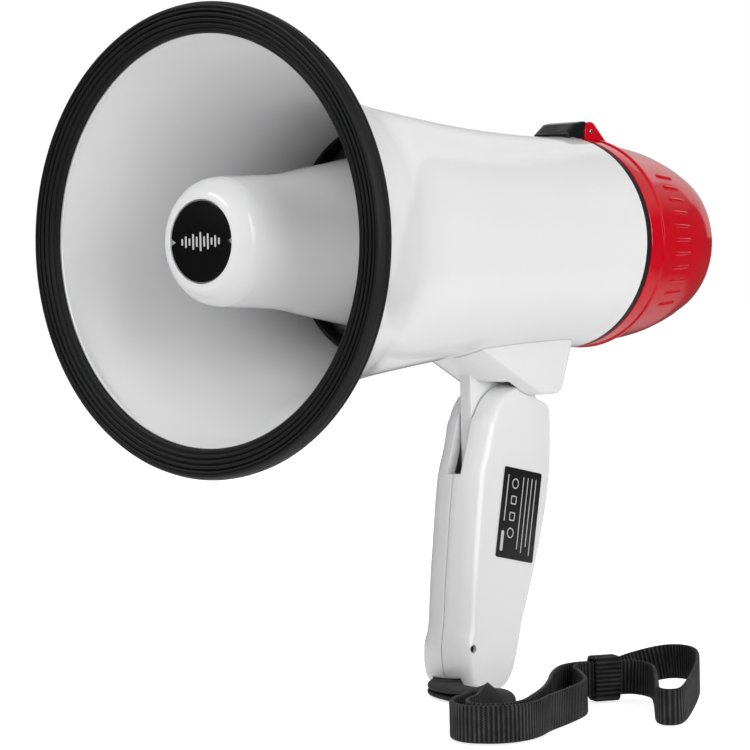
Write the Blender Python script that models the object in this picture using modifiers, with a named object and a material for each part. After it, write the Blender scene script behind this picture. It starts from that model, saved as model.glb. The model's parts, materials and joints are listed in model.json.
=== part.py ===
# Handheld megaphone with a folding handle, a turned horn, a pull-off rear cap and a wrist strap.
# Every dimension is in millimetres along the horn's own axis and is turned into metres by place().
# s runs along the axis from the rim's widest circle to the rear, x to the side and z up from the axis.
import math
import bpy
import bmesh
import numpy as np
from mathutils import Matrix, Vector

# ---------------------------------------------------------------- driving dimensions
MM = 0.001
RIM_FRONT = -3.4            # foremost plane of the rubber rim
CAP_END = 253.0             # rearmost crest of the rear cap
HANDLE_BOTTOM = -162.0      # lowest plane of the handle
MID_S = (RIM_FRONT + CAP_END) / 2.0
RIM_R = 78.0                # widest radius of the rubber rim
WALL = 2.1                  # wall of the horn body
GAP = 0.3                   # air between neighbouring pieces
SEG_BIG, SEG_MID, SEG_SMALL = 44, 28, 16

# outer profile of flare and barrel, as (s, radius)
BODY_OUT = [(2.0, 72.9), (12, 67.6), (20, 63.6), (28, 60.0), (36, 56.7), (44, 53.7), (51, 51.3),
            (59, 49.2), (70, 47.3), (90, 44.9), (115, 42.3), (140, 40.5), (170, 39.4), (194.2, 39.7)]
SEAL = (194.6, 196.8, 37.4, 39.5)       # front, rear, inner and outer radius of the seam ring
CATCH = (187.6, 188.7, 6.5, 40.5)       # catch ledge: front, rear, half width, top

PIVOT = (152.0, -71.0)      # handle hinge axis, (s, z)
PIVOT_R = 3.0
HALF_W = 11.0               # half width of the handle
SLOT_HALF = 3.3             # half width of the slot that takes the leaf
SLOT_FLOOR = -83.4
SLOT_R = 22.4
LEAF_HALF = 2.5
HANDLE_WALL = 2.3
HANDLE_SCREWS = [(150.0, -101.0), (141.0, -126.0)]
STRAP_PIN = (122.6, -145.5)
STRAP_PIN_R = 1.3

BRACKET_HALF = 15.5
BRACKET_SCREWS = [144.0, 176.0]

LATCH_PIN = (203.3, 41.6)
LATCH_PIN_R = 0.75
LATCH_HALF = 8.0

CELL_R, CELL_LEN, CELL_RING = 13.1, 49.9, 18.9
KNOB_AT = (16.5, 0.0)
TALK_AT = (0.0, 16.5)
MODE_AT = (-3.0, -16.5)

STRAP_W, STRAP_T = 12.0, 1.6


def place(x, s, z):
    """Axis millimetres to metres in the object's frame."""
    return Vector((x, s - MID_S, z - HANDLE_BOTTOM)) * MM


def body_r(s):
    return float(np.interp(s, [p[0] for p in BODY_OUT], [p[1] for p in BODY_OUT]))


# ---------------------------------------------------------------- scene and materials
def clear_scene():
    for ob in list(bpy.data.objects):
        bpy.data.objects.remove(ob, do_unlink=True)
    for me in list(bpy.data.meshes):
        bpy.data.meshes.remove(me)


CUTTERS = None


def cutter_collection():
    global CUTTERS
    if CUTTERS is None:
        CUTTERS = bpy.data.collections.new("cutters")
        bpy.context.scene.collection.children.link(CUTTERS)
    return CUTTERS


COLOURS = {
    "white": ((0.80, 0.80, 0.80), 0.22, 0.0), "red": ((0.62, 0.0, 0.03), 0.22, 0.0),
    "black": ((0.02, 0.02, 0.022), 0.40, 0.0), "rubber": ((0.022, 0.022, 0.022), 0.65, 0.0),
    "steel": ((0.55, 0.55, 0.56), 0.30, 1.0), "board": ((0.02, 0.16, 0.06), 0.45, 0.0),
    "ferrite": ((0.06, 0.06, 0.065), 0.55, 0.0), "amber": ((0.42, 0.26, 0.10), 0.40, 0.0),
    "cell": ((0.10, 0.12, 0.30), 0.30, 0.0), "webbing": ((0.012, 0.012, 0.013), 0.85, 0.0),
    "grey": ((0.30, 0.30, 0.31), 0.40, 0.0), "brass": ((0.70, 0.52, 0.22), 0.30, 1.0),
}


def own_material(ob, tone):
    colour, rough, metal = COLOURS[tone]
    mat = bpy.data.materials.new(ob.name)
    mat.use_nodes = True
    shader = mat.node_tree.nodes["Principled BSDF"]
    shader.inputs["Base Color"].default_value = (*colour, 1.0)
    shader.inputs["Roughness"].default_value = rough
    shader.inputs["Metallic"].default_value = metal
    mat.diffuse_color = (*colour, 1.0)
    ob.data.materials.clear()
    ob.data.materials.append(mat)


def add_object(name, mesh, tone, origin=None):
    """Link a mesh given in frame metres; origin moves the object's own origin to its joint."""
    ob = bpy.data.objects.new(name, mesh)
    if origin is not None:
        mesh.transform(Matrix.Translation(-origin))
        ob.location = origin
    if tone is None:
        cutter_collection().objects.link(ob)
        ob.hide_render = True
        ob.display_type = "WIRE"
    else:
        bpy.context.scene.collection.objects.link(ob)
        own_material(ob, tone)
    return ob


def bm_object(name, bm, tone, origin=None):
    bmesh.ops.recalc_face_normals(bm, faces=bm.faces)
    me = bpy.data.meshes.new(name)
    bm.to_mesh(me)
    bm.free()
    return add_object(name, me, tone, origin)


# ---------------------------------------------------------------- shape helpers
def lathe(name, loop, tone, segs=SEG_MID, at=(0.0, 0.0)):
    """Turn a closed (s, r) loop about the line x, z = at. A loop may touch the axis at r = 0."""
    pts = list(loop)
    area = sum(a[1] * b[0] - b[1] * a[0] for a, b in zip(pts, pts[1:] + pts[:1]))
    if area < 0:
        pts.reverse()
    on_axis = [i for i, p in enumerate(pts) if p[1] == 0.0]
    closed = not on_axis
    if on_axis:                      # start the chain on the axis so that it stays open there
        while not (pts[0][1] == 0.0 and pts[-1][1] == 0.0):
            pts = pts[1:] + pts[:1]
    centre = place(at[0], 0.0, at[1])
    verts = [(p[1] * MM, (p[0] - MID_S) * MM, 0.0) for p in pts]
    edges = [(i, i + 1) for i in range(len(pts) - 1)] + ([(len(pts) - 1, 0)] if closed else [])
    me = bpy.data.meshes.new(name)
    me.from_pydata(verts, edges, [])
    ob = add_object(name, me, tone)
    ob.location = (centre.x, 0.0, centre.z)
    turn = ob.modifiers.new("turn", "SCREW")
    turn.axis = "Y"
    turn.angle = 2 * math.pi
    turn.steps = segs
    turn.render_steps = segs
    turn.use_merge_vertices = True
    turn.merge_threshold = 0.00001
    turn.use_smooth_shade = False
    turn.use_normal_flip = True
    return ob


def prism(name, outline, x0, x1, tone, origin=None):
    """Extrude an (s, z) outline sideways from x0 to x1."""
    bm = bmesh.new()
    low = [bm.verts.new(place(x0, s, z)) for s, z in outline]
    high = [bm.verts.new(place(x1, s, z)) for s, z in outline]
    bm.faces.new(low)
    bm.faces.new(high)
    for i in range(len(outline)):
        j = (i + 1) % len(outline)
        bm.faces.new((low[i], low[j], high[j], high[i]))
    return bm_object(name, bm, tone, origin)


def disc_prism(name, outline, s0, s1, tone, origin=None):
    """Extrude an (x, z) outline along the axis from s0 to s1."""
    bm = bmesh.new()
    low = [bm.verts.new(place(x, s0, z)) for x, z in outline]
    high = [bm.verts.new(place(x, s1, z)) for x, z in outline]
    bm.faces.new(low)
    bm.faces.new(high)
    for i in range(len(outline)):
        j = (i + 1) % len(outline)
        bm.faces.new((low[i], low[j], high[j], high[i]))
    return bm_object(name, bm, tone, origin)


def box_into(bm, x0, x1, s0, s1, z0, z1):
    centre = place((x0 + x1) / 2, (s0 + s1) / 2, (z0 + z1) / 2)
    size = Vector((x1 - x0, s1 - s0, z1 - z0)) * MM
    bmesh.ops.create_cube(bm, size=1.0, matrix=Matrix.Translation(centre) @ Matrix.Diagonal((*size, 1.0)))


def box(name, x0, x1, s0, s1, z0, z1, tone, origin=None):
    bm = bmesh.new()
    box_into(bm, x0, x1, s0, s1, z0, z1)
    return bm_object(name, bm, tone, origin)


def rod_into(bm, start, end, r, segs=SEG_SMALL, r2=None):
    """Cylinder or cone between two (x, s, z) points."""
    a, b = place(*start), place(*end)
    line = b - a
    turn = line.to_track_quat("Z", "Y").to_matrix().to_4x4()
    bmesh.ops.create_cone(bm, cap_ends=True, segments=segs, radius1=r * MM,
                          radius2=(r if r2 is None else r2) * MM, depth=line.length,
                          matrix=Matrix.Translation((a + b) / 2) @ turn)


def rod(name, start, end, r, tone, segs=SEG_SMALL, origin=None):
    bm = bmesh.new()
    rod_into(bm, start, end, r, segs)
    return bm_object(name, bm, tone, origin)


def boolean(ob, other, how="DIFFERENCE"):
    mod = ob.modifiers.new(other.name, "BOOLEAN")
    mod.operation = how
    mod.solver = "EXACT"
    mod.object = other
    return mod


def soften(ob, width, segments=2, angle=35.0):
    mod = ob.modifiers.new("soften", "BEVEL")
    mod.width = width * MM
    mod.segments = segments
    mod.limit_method = "ANGLE"
    mod.angle_limit = math.radians(angle)
    mod.use_clamp_overlap = True
    return mod


def arc(centre, r, a0, a1, n):
    return [(centre[0] + r * math.cos(math.radians(a0 + (a1 - a0) * i / n)),
             centre[1] + r * math.sin(math.radians(a0 + (a1 - a0) * i / n))) for i in range(n + 1)]


def inset(outline, d):
    """Offset a closed outline inwards by d with mitred corners."""
    pts = np.array(outline, float)
    nxt, prv = np.roll(pts, -1, 0), np.roll(pts, 1, 0)
    area = 0.5 * float(np.sum(pts[:, 0] * nxt[:, 1] - nxt[:, 0] * pts[:, 1]))
    sign = 1.0 if area > 0 else -1.0
    e1, e2 = pts - prv, nxt - pts
    n1 = sign * np.stack([-e1[:, 1], e1[:, 0]], 1) / np.linalg.norm(e1, axis=1)[:, None]
    n2 = sign * np.stack([-e2[:, 1], e2[:, 0]], 1) / np.linalg.norm(e2, axis=1)[:, None]
    mid = n1 + n2
    mid /= np.sum(mid * n1, axis=1)[:, None]
    return [tuple(p) for p in pts + mid * d]


def screw_part(name, head_at, tip_at, head_r, head_len, shank_r, tone="steel", segs=14):
    """A pan-head screw as one closed solid: head from head_at, shank to tip_at."""
    a, b = place(*head_at), place(*tip_at)
    line = (b - a)
    total = line.length / MM
    bm = bmesh.new()
    rings = [(0.0, head_r * 0.75), (head_len * 0.35, head_r), (head_len, head_r), (head_len, shank_r),
             (total - shank_r, shank_r), (total, shank_r * 0.35)]
    turn = line.to_track_quat("Z", "Y").to_matrix()
    loops = []
    for d, r in rings:
        loops.append([bm.verts.new(a + turn @ Vector((r * math.cos(2 * math.pi * k / segs),
                                                     r * math.sin(2 * math.pi * k / segs), d)) * MM)
                      for k in range(segs)])
    for la, lb in zip(loops, loops[1:]):
        for k in range(segs):
            bm.faces.new((la[k], la[(k + 1) % segs], lb[(k + 1) % segs], lb[k]))
    bm.faces.new(loops[0])
    bm.faces.new(loops[-1])
    return bm_object(name, bm, tone)


# ---------------------------------------------------------------- horn and reflector
def rim_gasket():
    loop = [(-0.3, 67.6), (-0.3, 75.6), (2.3, 75.6), (2.3, 73.3), (3.3, 72.8), (4.3, 73.7),
            (4.1, 75.9), (3.0, 77.4), (0.0, RIM_R), (-2.2, 77.5), (-3.4, 76.4),
            (RIM_FRONT, 74.9), (-1.9, 74.6), (-3.2, 74.1), (-3.2, 72.9), (-1.8, 72.4),
            (-2.8, 71.9), (-2.7, 70.9), (-1.5, 70.3), (-2.0, 69.5), (-1.7, 68.2), (-1.3, 67.6)]
    return lathe("rim_gasket", loop, "rubber", SEG_BIG)


def horn_body():
    inner = [(s, r - WALL) for s, r in BODY_OUT if 10 <= s <= 90]
    loop = [(0.0, 70.6)] + inner
    loop += [(97.6, 41.9), (97.6, 38.6), (99.4, 38.6), (99.4, 41.7), (115, 40.2), (134.9, 38.7),
             (134.9, 35.2), (136.4, 35.2), (136.4, 38.6), (140, 38.4), (170, 37.3), (194.2, 37.4)]
    loop += list(reversed(BODY_OUT)) + [(2.0, 75.3), (0.0, 75.3)]
    ob = lathe("horn_body", loop, "white", SEG_BIG)
    ledge = prism("cut_ledge", [(CATCH[0] - 1.2, 38.4), (CATCH[0], CATCH[3]), (CATCH[1], CATCH[3]),
                                (CATCH[1], 38.4)], -CATCH[2], CATCH[2], None)
    boolean(ob, ledge, "UNION")
    holes = bmesh.new()
    for s in BRACKET_SCREWS:
        rod_into(holes, (0, s, -34.0), (0, s, -43.0), 1.8, 16)
    boolean(ob, bm_object("cut_bracket_holes", holes, None))
    return ob


def reflector_bullet():
    outer = [(-0.6, 3.1), (-0.6, 13.7), (-1.9, 13.9), (-1.9, 14.9), (-1.2, 16.6), (0.6, 18.6), (3, 20.3),
             (6, 21.2), (10, 21.5), (35, 22.7), (51, 25.2), (71, 28.6), (86, 31.4)]
    inner = [(86, 30.2), (71, 27.0), (51, 23.6), (35, 21.1), (10, 19.9), (4.5, 18.4), (1.8, 15.0),
             (1.8, 4.6), (23.7, 3.6), (23.7, 1.6), (1.3, 1.6), (1.3, 3.1)]
    return lathe("reflector_bullet", outer + inner, "white", 40)


def nose_badge():
    r, n = 13.3, 48
    outline = []
    for k in range(n):
        a = 2 * math.pi * k / n
        rr = r - 1.7 if k in (0, n // 2) else r
        outline.append((rr * math.cos(a), rr * math.sin(a)))
    return disc_prism("nose_badge", outline, -1.8, -0.9, "black")


def bullet_screw():
    return screw_part("bullet_screw", (0, -0.4, 0), (0, 30.0, 0), 2.7, 1.4, 1.25)


def throat_gasket():
    return lathe("throat_gasket", [(89.6, 41.0), (89.6, 42.45), (93.6, 42.0), (93.6, 39.8)],
                 "rubber", SEG_BIG)


def throat_bulkhead():
    loop = [(94.0, 12.5), (93.8, 16.0), (95.0, 24.0), (95.0, 33.0), (94.0, 37.5), (94.0, 41.6),
            (97.2, 41.6), (97.2, 12.5)]
    ob = lathe("throat_bulkhead", loop, "black", SEG_MID)
    boolean(ob, driver_holes("cut_bulkhead_holes", 95.9))
    return ob


def driver_holes(name, start):
    bm = bmesh.new()
    for k in range(4):
        a = math.radians(45 + 90 * k)
        x, z = 31.0 * math.cos(a), 31.0 * math.sin(a)
        rod_into(bm, (x, start, z), (x, 105.0, z), 1.5, 12)
    return bm_object(name, bm, None)


def throat_tube():
    """Sound tube with rear flange, three vanes that carry the bullet and a front spider with a hub."""
    loop = [(24.0, 9.6), (24.0, 11.2), (60.0, 11.8), (97.5, 12.1), (97.5, 15.8), (99.3, 15.8), (99.3, 9.6)]
    ob = lathe("throat_tube", loop, "grey", SEG_MID)
    add = bmesh.new()
    rod_into(add, (0, 24.0, 0), (0, 31.0, 0), 3.4, 18)
    hub = bm_object("cut_hub", add, None)
    for k in range(3):
        a = math.radians(90 + 120 * k)
        arm = bmesh.new()
        turn = Matrix.Rotation(-a, 4, "Y")
        for x0, x1, s0, s1 in ((2.4, 10.4, 24.6, 30.4), (11.0, 22.6, 52.0, 76.0)):
            centre = Vector(((x0 + x1) / 2, (s0 + s1) / 2 - MID_S, 0)) * MM
            size = Vector((x1 - x0, s1 - s0, 1.6)) * MM
            move = Matrix.Translation(Vector((0, 0, -HANDLE_BOTTOM)) * MM)
            bmesh.ops.create_cube(arm, size=1.0, matrix=move @ turn @ Matrix.Translation(centre)
                                  @ Matrix.Diagonal((*size, 1.0)))
        boolean(ob, bm_object("cut_arm_%d" % (k + 1), arm, None), "UNION")
    boolean(ob, hub, "UNION")
    boolean(ob, rod("cut_hub_hole", (0, 20.0, 0), (0, 33.0, 0), 1.6, None, 14))
    return ob


# ---------------------------------------------------------------- driver and electronics
def driver_frame():
    loop = [(97.6, 16.2), (97.6, 34.5), (100.4, 34.5), (100.4, 27.0), (112.0, 26.0), (112.0, 22.6),
            (102.4, 24.0), (102.4, 11.5), (99.7, 11.5), (99.7, 16.2)]
    ob = lathe("driver_frame", loop, "steel", SEG_MID)
    boolean(ob, driver_holes("cut_frame_holes", 94.0))
    return ob


def driver_diaphragm():
    front = [(104.6, 0.0), (105.2, 7.0), (108.0, 14.5), (107.4, 18.0), (108.0, 22.0)]
    back = [(s + 0.5, r) for s, r in reversed(front)]
    return lathe("driver_diaphragm", front + back, "amber", 24)


def driver_magnet():
    loop = [(109.6, 0.0), (109.6, 6.2), (112.4, 6.2), (112.4, 27.0), (115.0, 27.0), (115.0, 29.0),
            (123.6, 29.0), (123.6, 27.0), (126.4, 27.0), (126.4, 0.0)]
    return lathe("driver_magnet", loop, "ferrite", SEG_MID)


def driver_screws():
    for k in range(4):
        a = math.radians(45 + 90 * k)
        x, z = 31.0 * math.cos(a), 31.0 * math.sin(a)
        screw_part("driver_screw_%d" % (k + 1), (x, 102.3, z), (x, 96.3, z), 2.5, 1.6, 1.2, segs=10)


def amplifier():
    ob = rod("amplifier_board", (0, 133.0, 0), (0, 134.6, 0), 37.6, "board", 48)
    bm = bmesh.new()
    box_into(bm, -16, 4, 130.4, 133.4, -22, -12)
    box_into(bm, 12, 22, 130.8, 133.4, 8, 24)
    boolean(ob, bm_object("cut_chips", bm, None), "UNION")
    fins = bmesh.new()
    box_into(fins, -24, 6, 131.4, 132.7, 4, 26)
    sink = bm_object("heat_sink", fins, "steel")
    more = bmesh.new()
    for k in range(6):
        box_into(more, -24 + 5.6 * k, -22 + 5.6 * k, 127.4, 131.9, 4, 26)
    boolean(sink, bm_object("cut_fins", more, None), "UNION")
    rod("reservoir_capacitor", (10.0, 129.9, -8.0), (28.0, 129.9, -8.0), 2.7, "cell", 16)


def battery_bay():
    loop = [(139.5, 0.0), (139.5, 33.0), (141.5, 33.0), (141.5, 4.8), (193.4, 4.8), (193.4, 33.0),
            (195.4, 33.0), (195.4, 0.0)]
    lathe("battery_carrier", loop, "black", 36)
    cell = [(142.6, 0.0), (142.6, 3.2), (144.0, 3.2), (144.0, 12.5), (144.6, CELL_R),
            (191.9, CELL_R), (192.5, 12.5), (192.5, 0.0)]
    for k in range(4):
        a = math.radians(45 + 90 * k)
        lathe("battery_%d" % (k + 1), cell, "cell", 20, (CELL_RING * math.cos(a), CELL_RING * math.sin(a)))
    c = CELL_RING * math.cos(math.radians(45))
    strips = [("contact_strip_1", -c - 6, c + 6, c - 5, c + 5, 141.8, 142.3),
              ("contact_strip_2", -c - 6, c + 6, -c - 5, -c + 5, 141.8, 142.3),
              ("contact_strip_3", c - 5, c + 5, -c - 6, c + 6, 192.8, 193.1),
              ("contact_strip_4", -c - 5, -c + 5, -c - 6, c + 6, 192.8, 193.1)]
    for name, x0, x1, z0, z1, s0, s1 in strips:
        box(name, x0, x1, s0, s1, z0, z1, "brass")


def seam_seal():
    s0, s1, r0, r1 = SEAL
    return lathe("seam_seal", [(s0, r0), (s0, r1), (s1, r1), (s1, r0)], "rubber", SEG_BIG)


# ---------------------------------------------------------------- rear cap, controls and latch
CAP_OUT = [(197.1, 39.3), (197.6, 39.6), (204.8, 39.4), (205.3, 39.9), (206.1, 39.9), (206.6, 39.2),
           (214.5, 37.95), (228.5, 36.1), (236, 34.5), (243, 32.6), (250, 30.2), (252.4, 29.1),
           (CAP_END, 28.2)]
CAP_IN = [(252.4, 27.2), (249.5, 26.3), (240.2, 25.4), (240.2, 22.5), (238.4, 22.5),
          (238.4, 31.0), (229, 33.6), (214.5, 35.5), (199.2, 36.4), (199.2, 34.9),
          (187.0, 34.9), (187.0, 36.9), (197.1, 36.9)]


def grip_ribs(side):
    """Two rows of raised finger ribs on the cap's flanks."""
    bm = bmesh.new()
    for k in range(11):
        a = math.radians((k - 5) * 8.0)
        for s0, s1 in ((216.0, 227.2),):
            front, rear = 37.74, 36.27
            pts = []
            for s, r in ((s0, front), (s1, rear)):
                for dr in (-1.0, 0.75):
                    for da in (-0.011, 0.011):
                        ang = a + da
                        pts.append(place(side * (r + dr) * math.cos(ang), s, (r + dr) * math.sin(ang)))
            vs = [bm.verts.new(p) for p in pts]
            for f in ((0, 1, 3, 2), (4, 5, 7, 6), (0, 1, 5, 4), (2, 3, 7, 6), (0, 2, 6, 4), (1, 3, 7, 5)):
                bm.faces.new([vs[i] for i in f])
    return bm_object("cut_grip_%s" % ("left" if side > 0 else "right"), bm, None)


def rear_cap():
    ob = lathe("rear_cap", CAP_OUT + CAP_IN, "red", SEG_BIG)
    boolean(ob, grip_ribs(1), "UNION")
    boolean(ob, grip_ribs(-1), "UNION")
    ear = [(199.6, 36.9), (199.6, 41.6)] + arc(LATCH_PIN, 3.7, 165, 48, 5) + [(214.6, 36.7), (206.0, 36.9)]
    for k, (x0, x1) in enumerate(((6.3, 8.3), (-8.3, -6.3))):
        boolean(ob, prism("cut_ear_%d" % (k + 1), ear, x0, x1, None), "UNION")
    boolean(ob, rod("cut_latch_bore", (-12, *LATCH_PIN), (12, *LATCH_PIN), 1.05, None, 14))
    return ob


def mouthpiece():
    ob = lathe("mouthpiece_panel", [(240.5, 9.4), (240.5, 25.0), (242.3, 25.0), (242.3, 11.0),
                                    (243.4, 10.4), (243.4, 9.4)], "black", SEG_MID)
    bm = bmesh.new()
    rod_into(bm, (TALK_AT[0], 238, TALK_AT[1]), (TALK_AT[0], 245, TALK_AT[1]), 4.6, 20)
    rod_into(bm, (KNOB_AT[0], 238, KNOB_AT[1]), (KNOB_AT[0], 245, KNOB_AT[1]), 2.0, 14)
    box_into(bm, -6.0, 6.0, 238, 245, MODE_AT[1] - 2.0, MODE_AT[1] + 2.0)
    boolean(ob, bm_object("cut_panel", bm, None))
    grille = lathe("mic_grille", [(240.9, 0.0), (240.9, 9.1), (243.0, 9.1), (244.0, 5.6),
                                  (244.3, 0.0)], "steel", 18)
    holes = bmesh.new()
    spots = [(0.0, 0.0)] + [(3.2 * math.cos(math.radians(60 * k)), 3.2 * math.sin(math.radians(60 * k)))
                            for k in range(6)]
    spots += [(6.4 * math.cos(math.radians(45 * k)), 6.4 * math.sin(math.radians(45 * k)))
              for k in range(8)]
    for x, z in spots:
        rod_into(holes, (x, 239, z), (x, 246, z), 0.9, 6)
    boolean(grille, bm_object("cut_grille", holes, None))
    rod("mic_capsule", (0, 234.2, 0), (0, 240.4, 0), 4.8, "steel", 24)
    lathe("mic_boot", [(233.4, 5.1), (233.4, 8.0), (240.2, 8.0), (240.2, 5.1)], "rubber", 24)
    board = rod("control_board", (0, 231.2, 0), (0, 232.8, 0), 29.5, "board", 36)
    parts = bmesh.new()
    box_into(parts, KNOB_AT[0] - 4.6, KNOB_AT[0] + 4.6, 232.4, 237.6, -4.6, 4.6)
    box_into(parts, -3.2, 3.2, 232.4, 235.6, TALK_AT[1] - 3.2, TALK_AT[1] + 3.2)
    box_into(parts, -7.0, 7.0, 232.4, 237.0, MODE_AT[1] - 3.2, MODE_AT[1] + 3.2)
    boolean(board, bm_object("cut_switches", parts, None), "UNION")
    boolean(board, rod("cut_pot_bore", (KNOB_AT[0], 233.6, 0), (KNOB_AT[0], 240, 0), 1.8, None, 14))


def volume_knob():
    origin = place(KNOB_AT[0], 243.0, KNOB_AT[1])
    outline = []
    for k in range(40):
        r = 5.2 if k % 2 else 4.75
        outline.append((KNOB_AT[0] + r * math.cos(math.pi * k / 20), KNOB_AT[1] + r * math.sin(math.pi * k / 20)))
    ob = disc_prism("volume_knob", outline, 242.9, 247.2, "black", origin)
    boolean(ob, rod("cut_knob_shaft", (KNOB_AT[0], 234.2, 0), (KNOB_AT[0], 243.5, 0), 1.5, None, 14), "UNION")
    mark = box("cut_knob_mark", KNOB_AT[0] - 0.45, KNOB_AT[0] + 0.45, 246.5, 248.0, 1.0, 4.2, None)
    boolean(ob, mark)
    return ob


def mode_switch():
    x, z = MODE_AT
    origin = place(x, 242.0, z)
    ob = box("mode_switch", x - 2.4, x + 2.4, 242.9, 245.0, z - 2.6, z + 2.6, "grey", origin)
    boolean(ob, box("cut_mode_stem", x - 1.4, x + 1.4, 237.4, 243.2, z - 1.4, z + 1.4, None), "UNION")
    return ob


def talk_button():
    x, z = TALK_AT
    loop = [(237.9, 0.0), (237.9, 2.2), (239.0, 2.2), (239.0, 5.3), (240.1, 5.3), (240.1, 4.25),
            (245.2, 4.25), (245.8, 3.4), (245.8, 0.0)]
    return lathe("talk_button", loop, "grey", 24, (x, z))


def latch():
    origin = place(0, *LATCH_PIN)
    wide = [(189.0, 37.6), (189.0, 40.7), (194.8, 44.7), (198.4, 45.4), (201.4, 45.4)]
    wide += [p for p in arc(LATCH_PIN, 4.05, 112, 182, 5)] + [(199.25, 37.6)]
    ob = prism("latch_lever", wide, -LATCH_HALF, LATCH_HALF, "black", origin)
    tail = [(198.0, 39.5), (198.0, 44.9), (201.4, 45.3)]
    tail += [p for p in arc(LATCH_PIN, 1.85, 100, -80, 8)] + [(202.6, 39.7)]
    tail_top = [(198.0, 40.0), (198.0, 45.35), (201.4, 45.35), (203.6, 43.4)] + \
        [p for p in arc(LATCH_PIN, 1.85, 60, -90, 7)]
    boolean(ob, prism("cut_latch_tail", tail_top, -6.0, 6.0, None), "UNION")
    boolean(ob, lathe("cut_latch_under", [(180, 0.0), (180, 40.15), (199.0, 40.15), (199.0, 39.95),
                                          (215, 39.95), (215, 0.0)], None, 96))
    boolean(ob, rod("cut_lever_bore", (-12, *LATCH_PIN), (12, *LATCH_PIN), 1.0, None, 14))
    rod("latch_pin", (-8.15, *LATCH_PIN), (8.15, *LATCH_PIN), LATCH_PIN_R, "steel", 14)
    return ob


# ---------------------------------------------------------------- bracket
def bracket_front(x, z):
    """Where the bracket's raked, pointed front lies at side offset x and height z."""
    return 126.0 + 2.0 * (-38.5 - z) - 11.0 * (1.0 - (abs(x) / BRACKET_HALF) ** 2)


def bracket():
    levels = [-30.0, -36.0, -40.0, -44.0, -48.0, -52.0, -56.0]
    stations = [-BRACKET_HALF, -14.0, -11.5, -8.0, -4.0, 0.0, 4.0, 8.0, 11.5, 14.0, BRACKET_HALF]
    bm = bmesh.new()
    rings = []
    for x in stations:
        edge = 0.9 if abs(x) > 15.0 else 0.0
        pts = [(bracket_front(x, z) + edge, z + (edge if z < -55 else 0)) for z in levels]
        pts += [(172.6, -56.0 + edge), (174.4 - edge * 0.5, -54.6 + edge * 0.5), (183.4 - edge, -30.0)]
        rings.append([bm.verts.new(place(x, s, z)) for s, z in pts])
    for a, b in zip(rings, rings[1:]):
        for i in range(len(a)):
            j = (i + 1) % len(a)
            bm.faces.new((a[i], a[j], b[j], b[i]))
    bm.faces.new(rings[0])
    bm.faces.new(rings[-1])
    ob = bm_object("bracket", bm, "white")
    shell = [(90.0, 0.0)] + [(s, r + GAP) for s, r in [(90.0, body_r(90)), (115, 42.3), (140, 40.5),
                                                       (170, 39.4), (190.0, 39.66)]] + [(190.0, 0.0)]
    boolean(ob, lathe("cut_barrel", shell, None, 96))
    reach = [(30, 19.5), (50, 19.5), (70, 19.6), (80, 20.0), (90, 20.5), (100, 20.9), (110, 21.6),
             (120, 23.6), (130, 26.6), (140, 30.0)]
    pocket = [(PIVOT[0] + r * math.cos(math.radians(a)), PIVOT[1] + r * math.sin(math.radians(a)))
              for a, r in reach]
    pocket = [(190.0, -57.6), (168.0, -57.6)] + pocket[1:] + [(120.0, -52.0), (120.0, -75.0), (190.0, -75.0)]
    boolean(ob, prism("cut_pocket", pocket, -HALF_W - 0.4, HALF_W + 0.4, None))
    leaf = [(134.5, -45.0), (134.5, -81.6), (136.4, -84.2), (140.0, -85.6), (152.0, -84.0),
            (159.0, -79.5), (162.6, -72.0), (163.4, -62.0), (163.4, -50.0)]
    boolean(ob, prism("cut_leaf", leaf, -LEAF_HALF, LEAF_HALF, None), "UNION")
    boolean(ob, rod("cut_hub_boss", (-2.9, *PIVOT), (2.9, *PIVOT), 5.4, None, 24), "UNION")
    boolean(ob, rod("cut_leaf_bore", (-6, *PIVOT), (6, *PIVOT), PIVOT_R + 0.1, None, 32))
    holes = bmesh.new()
    for s in BRACKET_SCREWS:
        rod_into(holes, (0, s, -36.0), (0, s, -48.0), 1.6, 14)
    boolean(ob, bm_object("cut_thread_holes", holes, None))
    for k, s in enumerate(BRACKET_SCREWS):
        top = -(body_r(s) - WALL) + 0.35
        screw_part("bracket_screw_%d" % (k + 1), (0, s, top + 1.5), (0, s, -47.0), 2.9, 1.5, 1.3, segs=12)
    return ob


# ---------------------------------------------------------------- handle
HANDLE_OUT = [(163.4, -56.6)] + arc(PIVOT, 19.0, 45, 150, 9)[1:] + \
    [(133.4, -64.0), (131.6, -69.0), (129.6, -75.0), (126.4, -83.4), (124.4, -95.0), (122.6, -108.0),
     (120.8, -121.0), (119.4, -135.0), (118.2, -141.5), (117.8, -147.5), (118.6, -153.5), (121.2, -158.4),
     (125.4, -161.2), (130.0, HANDLE_BOTTOM), (137.5, HANDLE_BOTTOM), (142.6, -159.6), (146.6, -154.2),
     (151.4, -141.0), (156.6, -129.0), (161.4, -117.0), (165.4, -106.0), (168.6, -95.0), (170.6, -85.0),
     (171.4, -77.0), (171.5, -62.0), (169.8, -58.4), (167.0, -58.0)]


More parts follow.
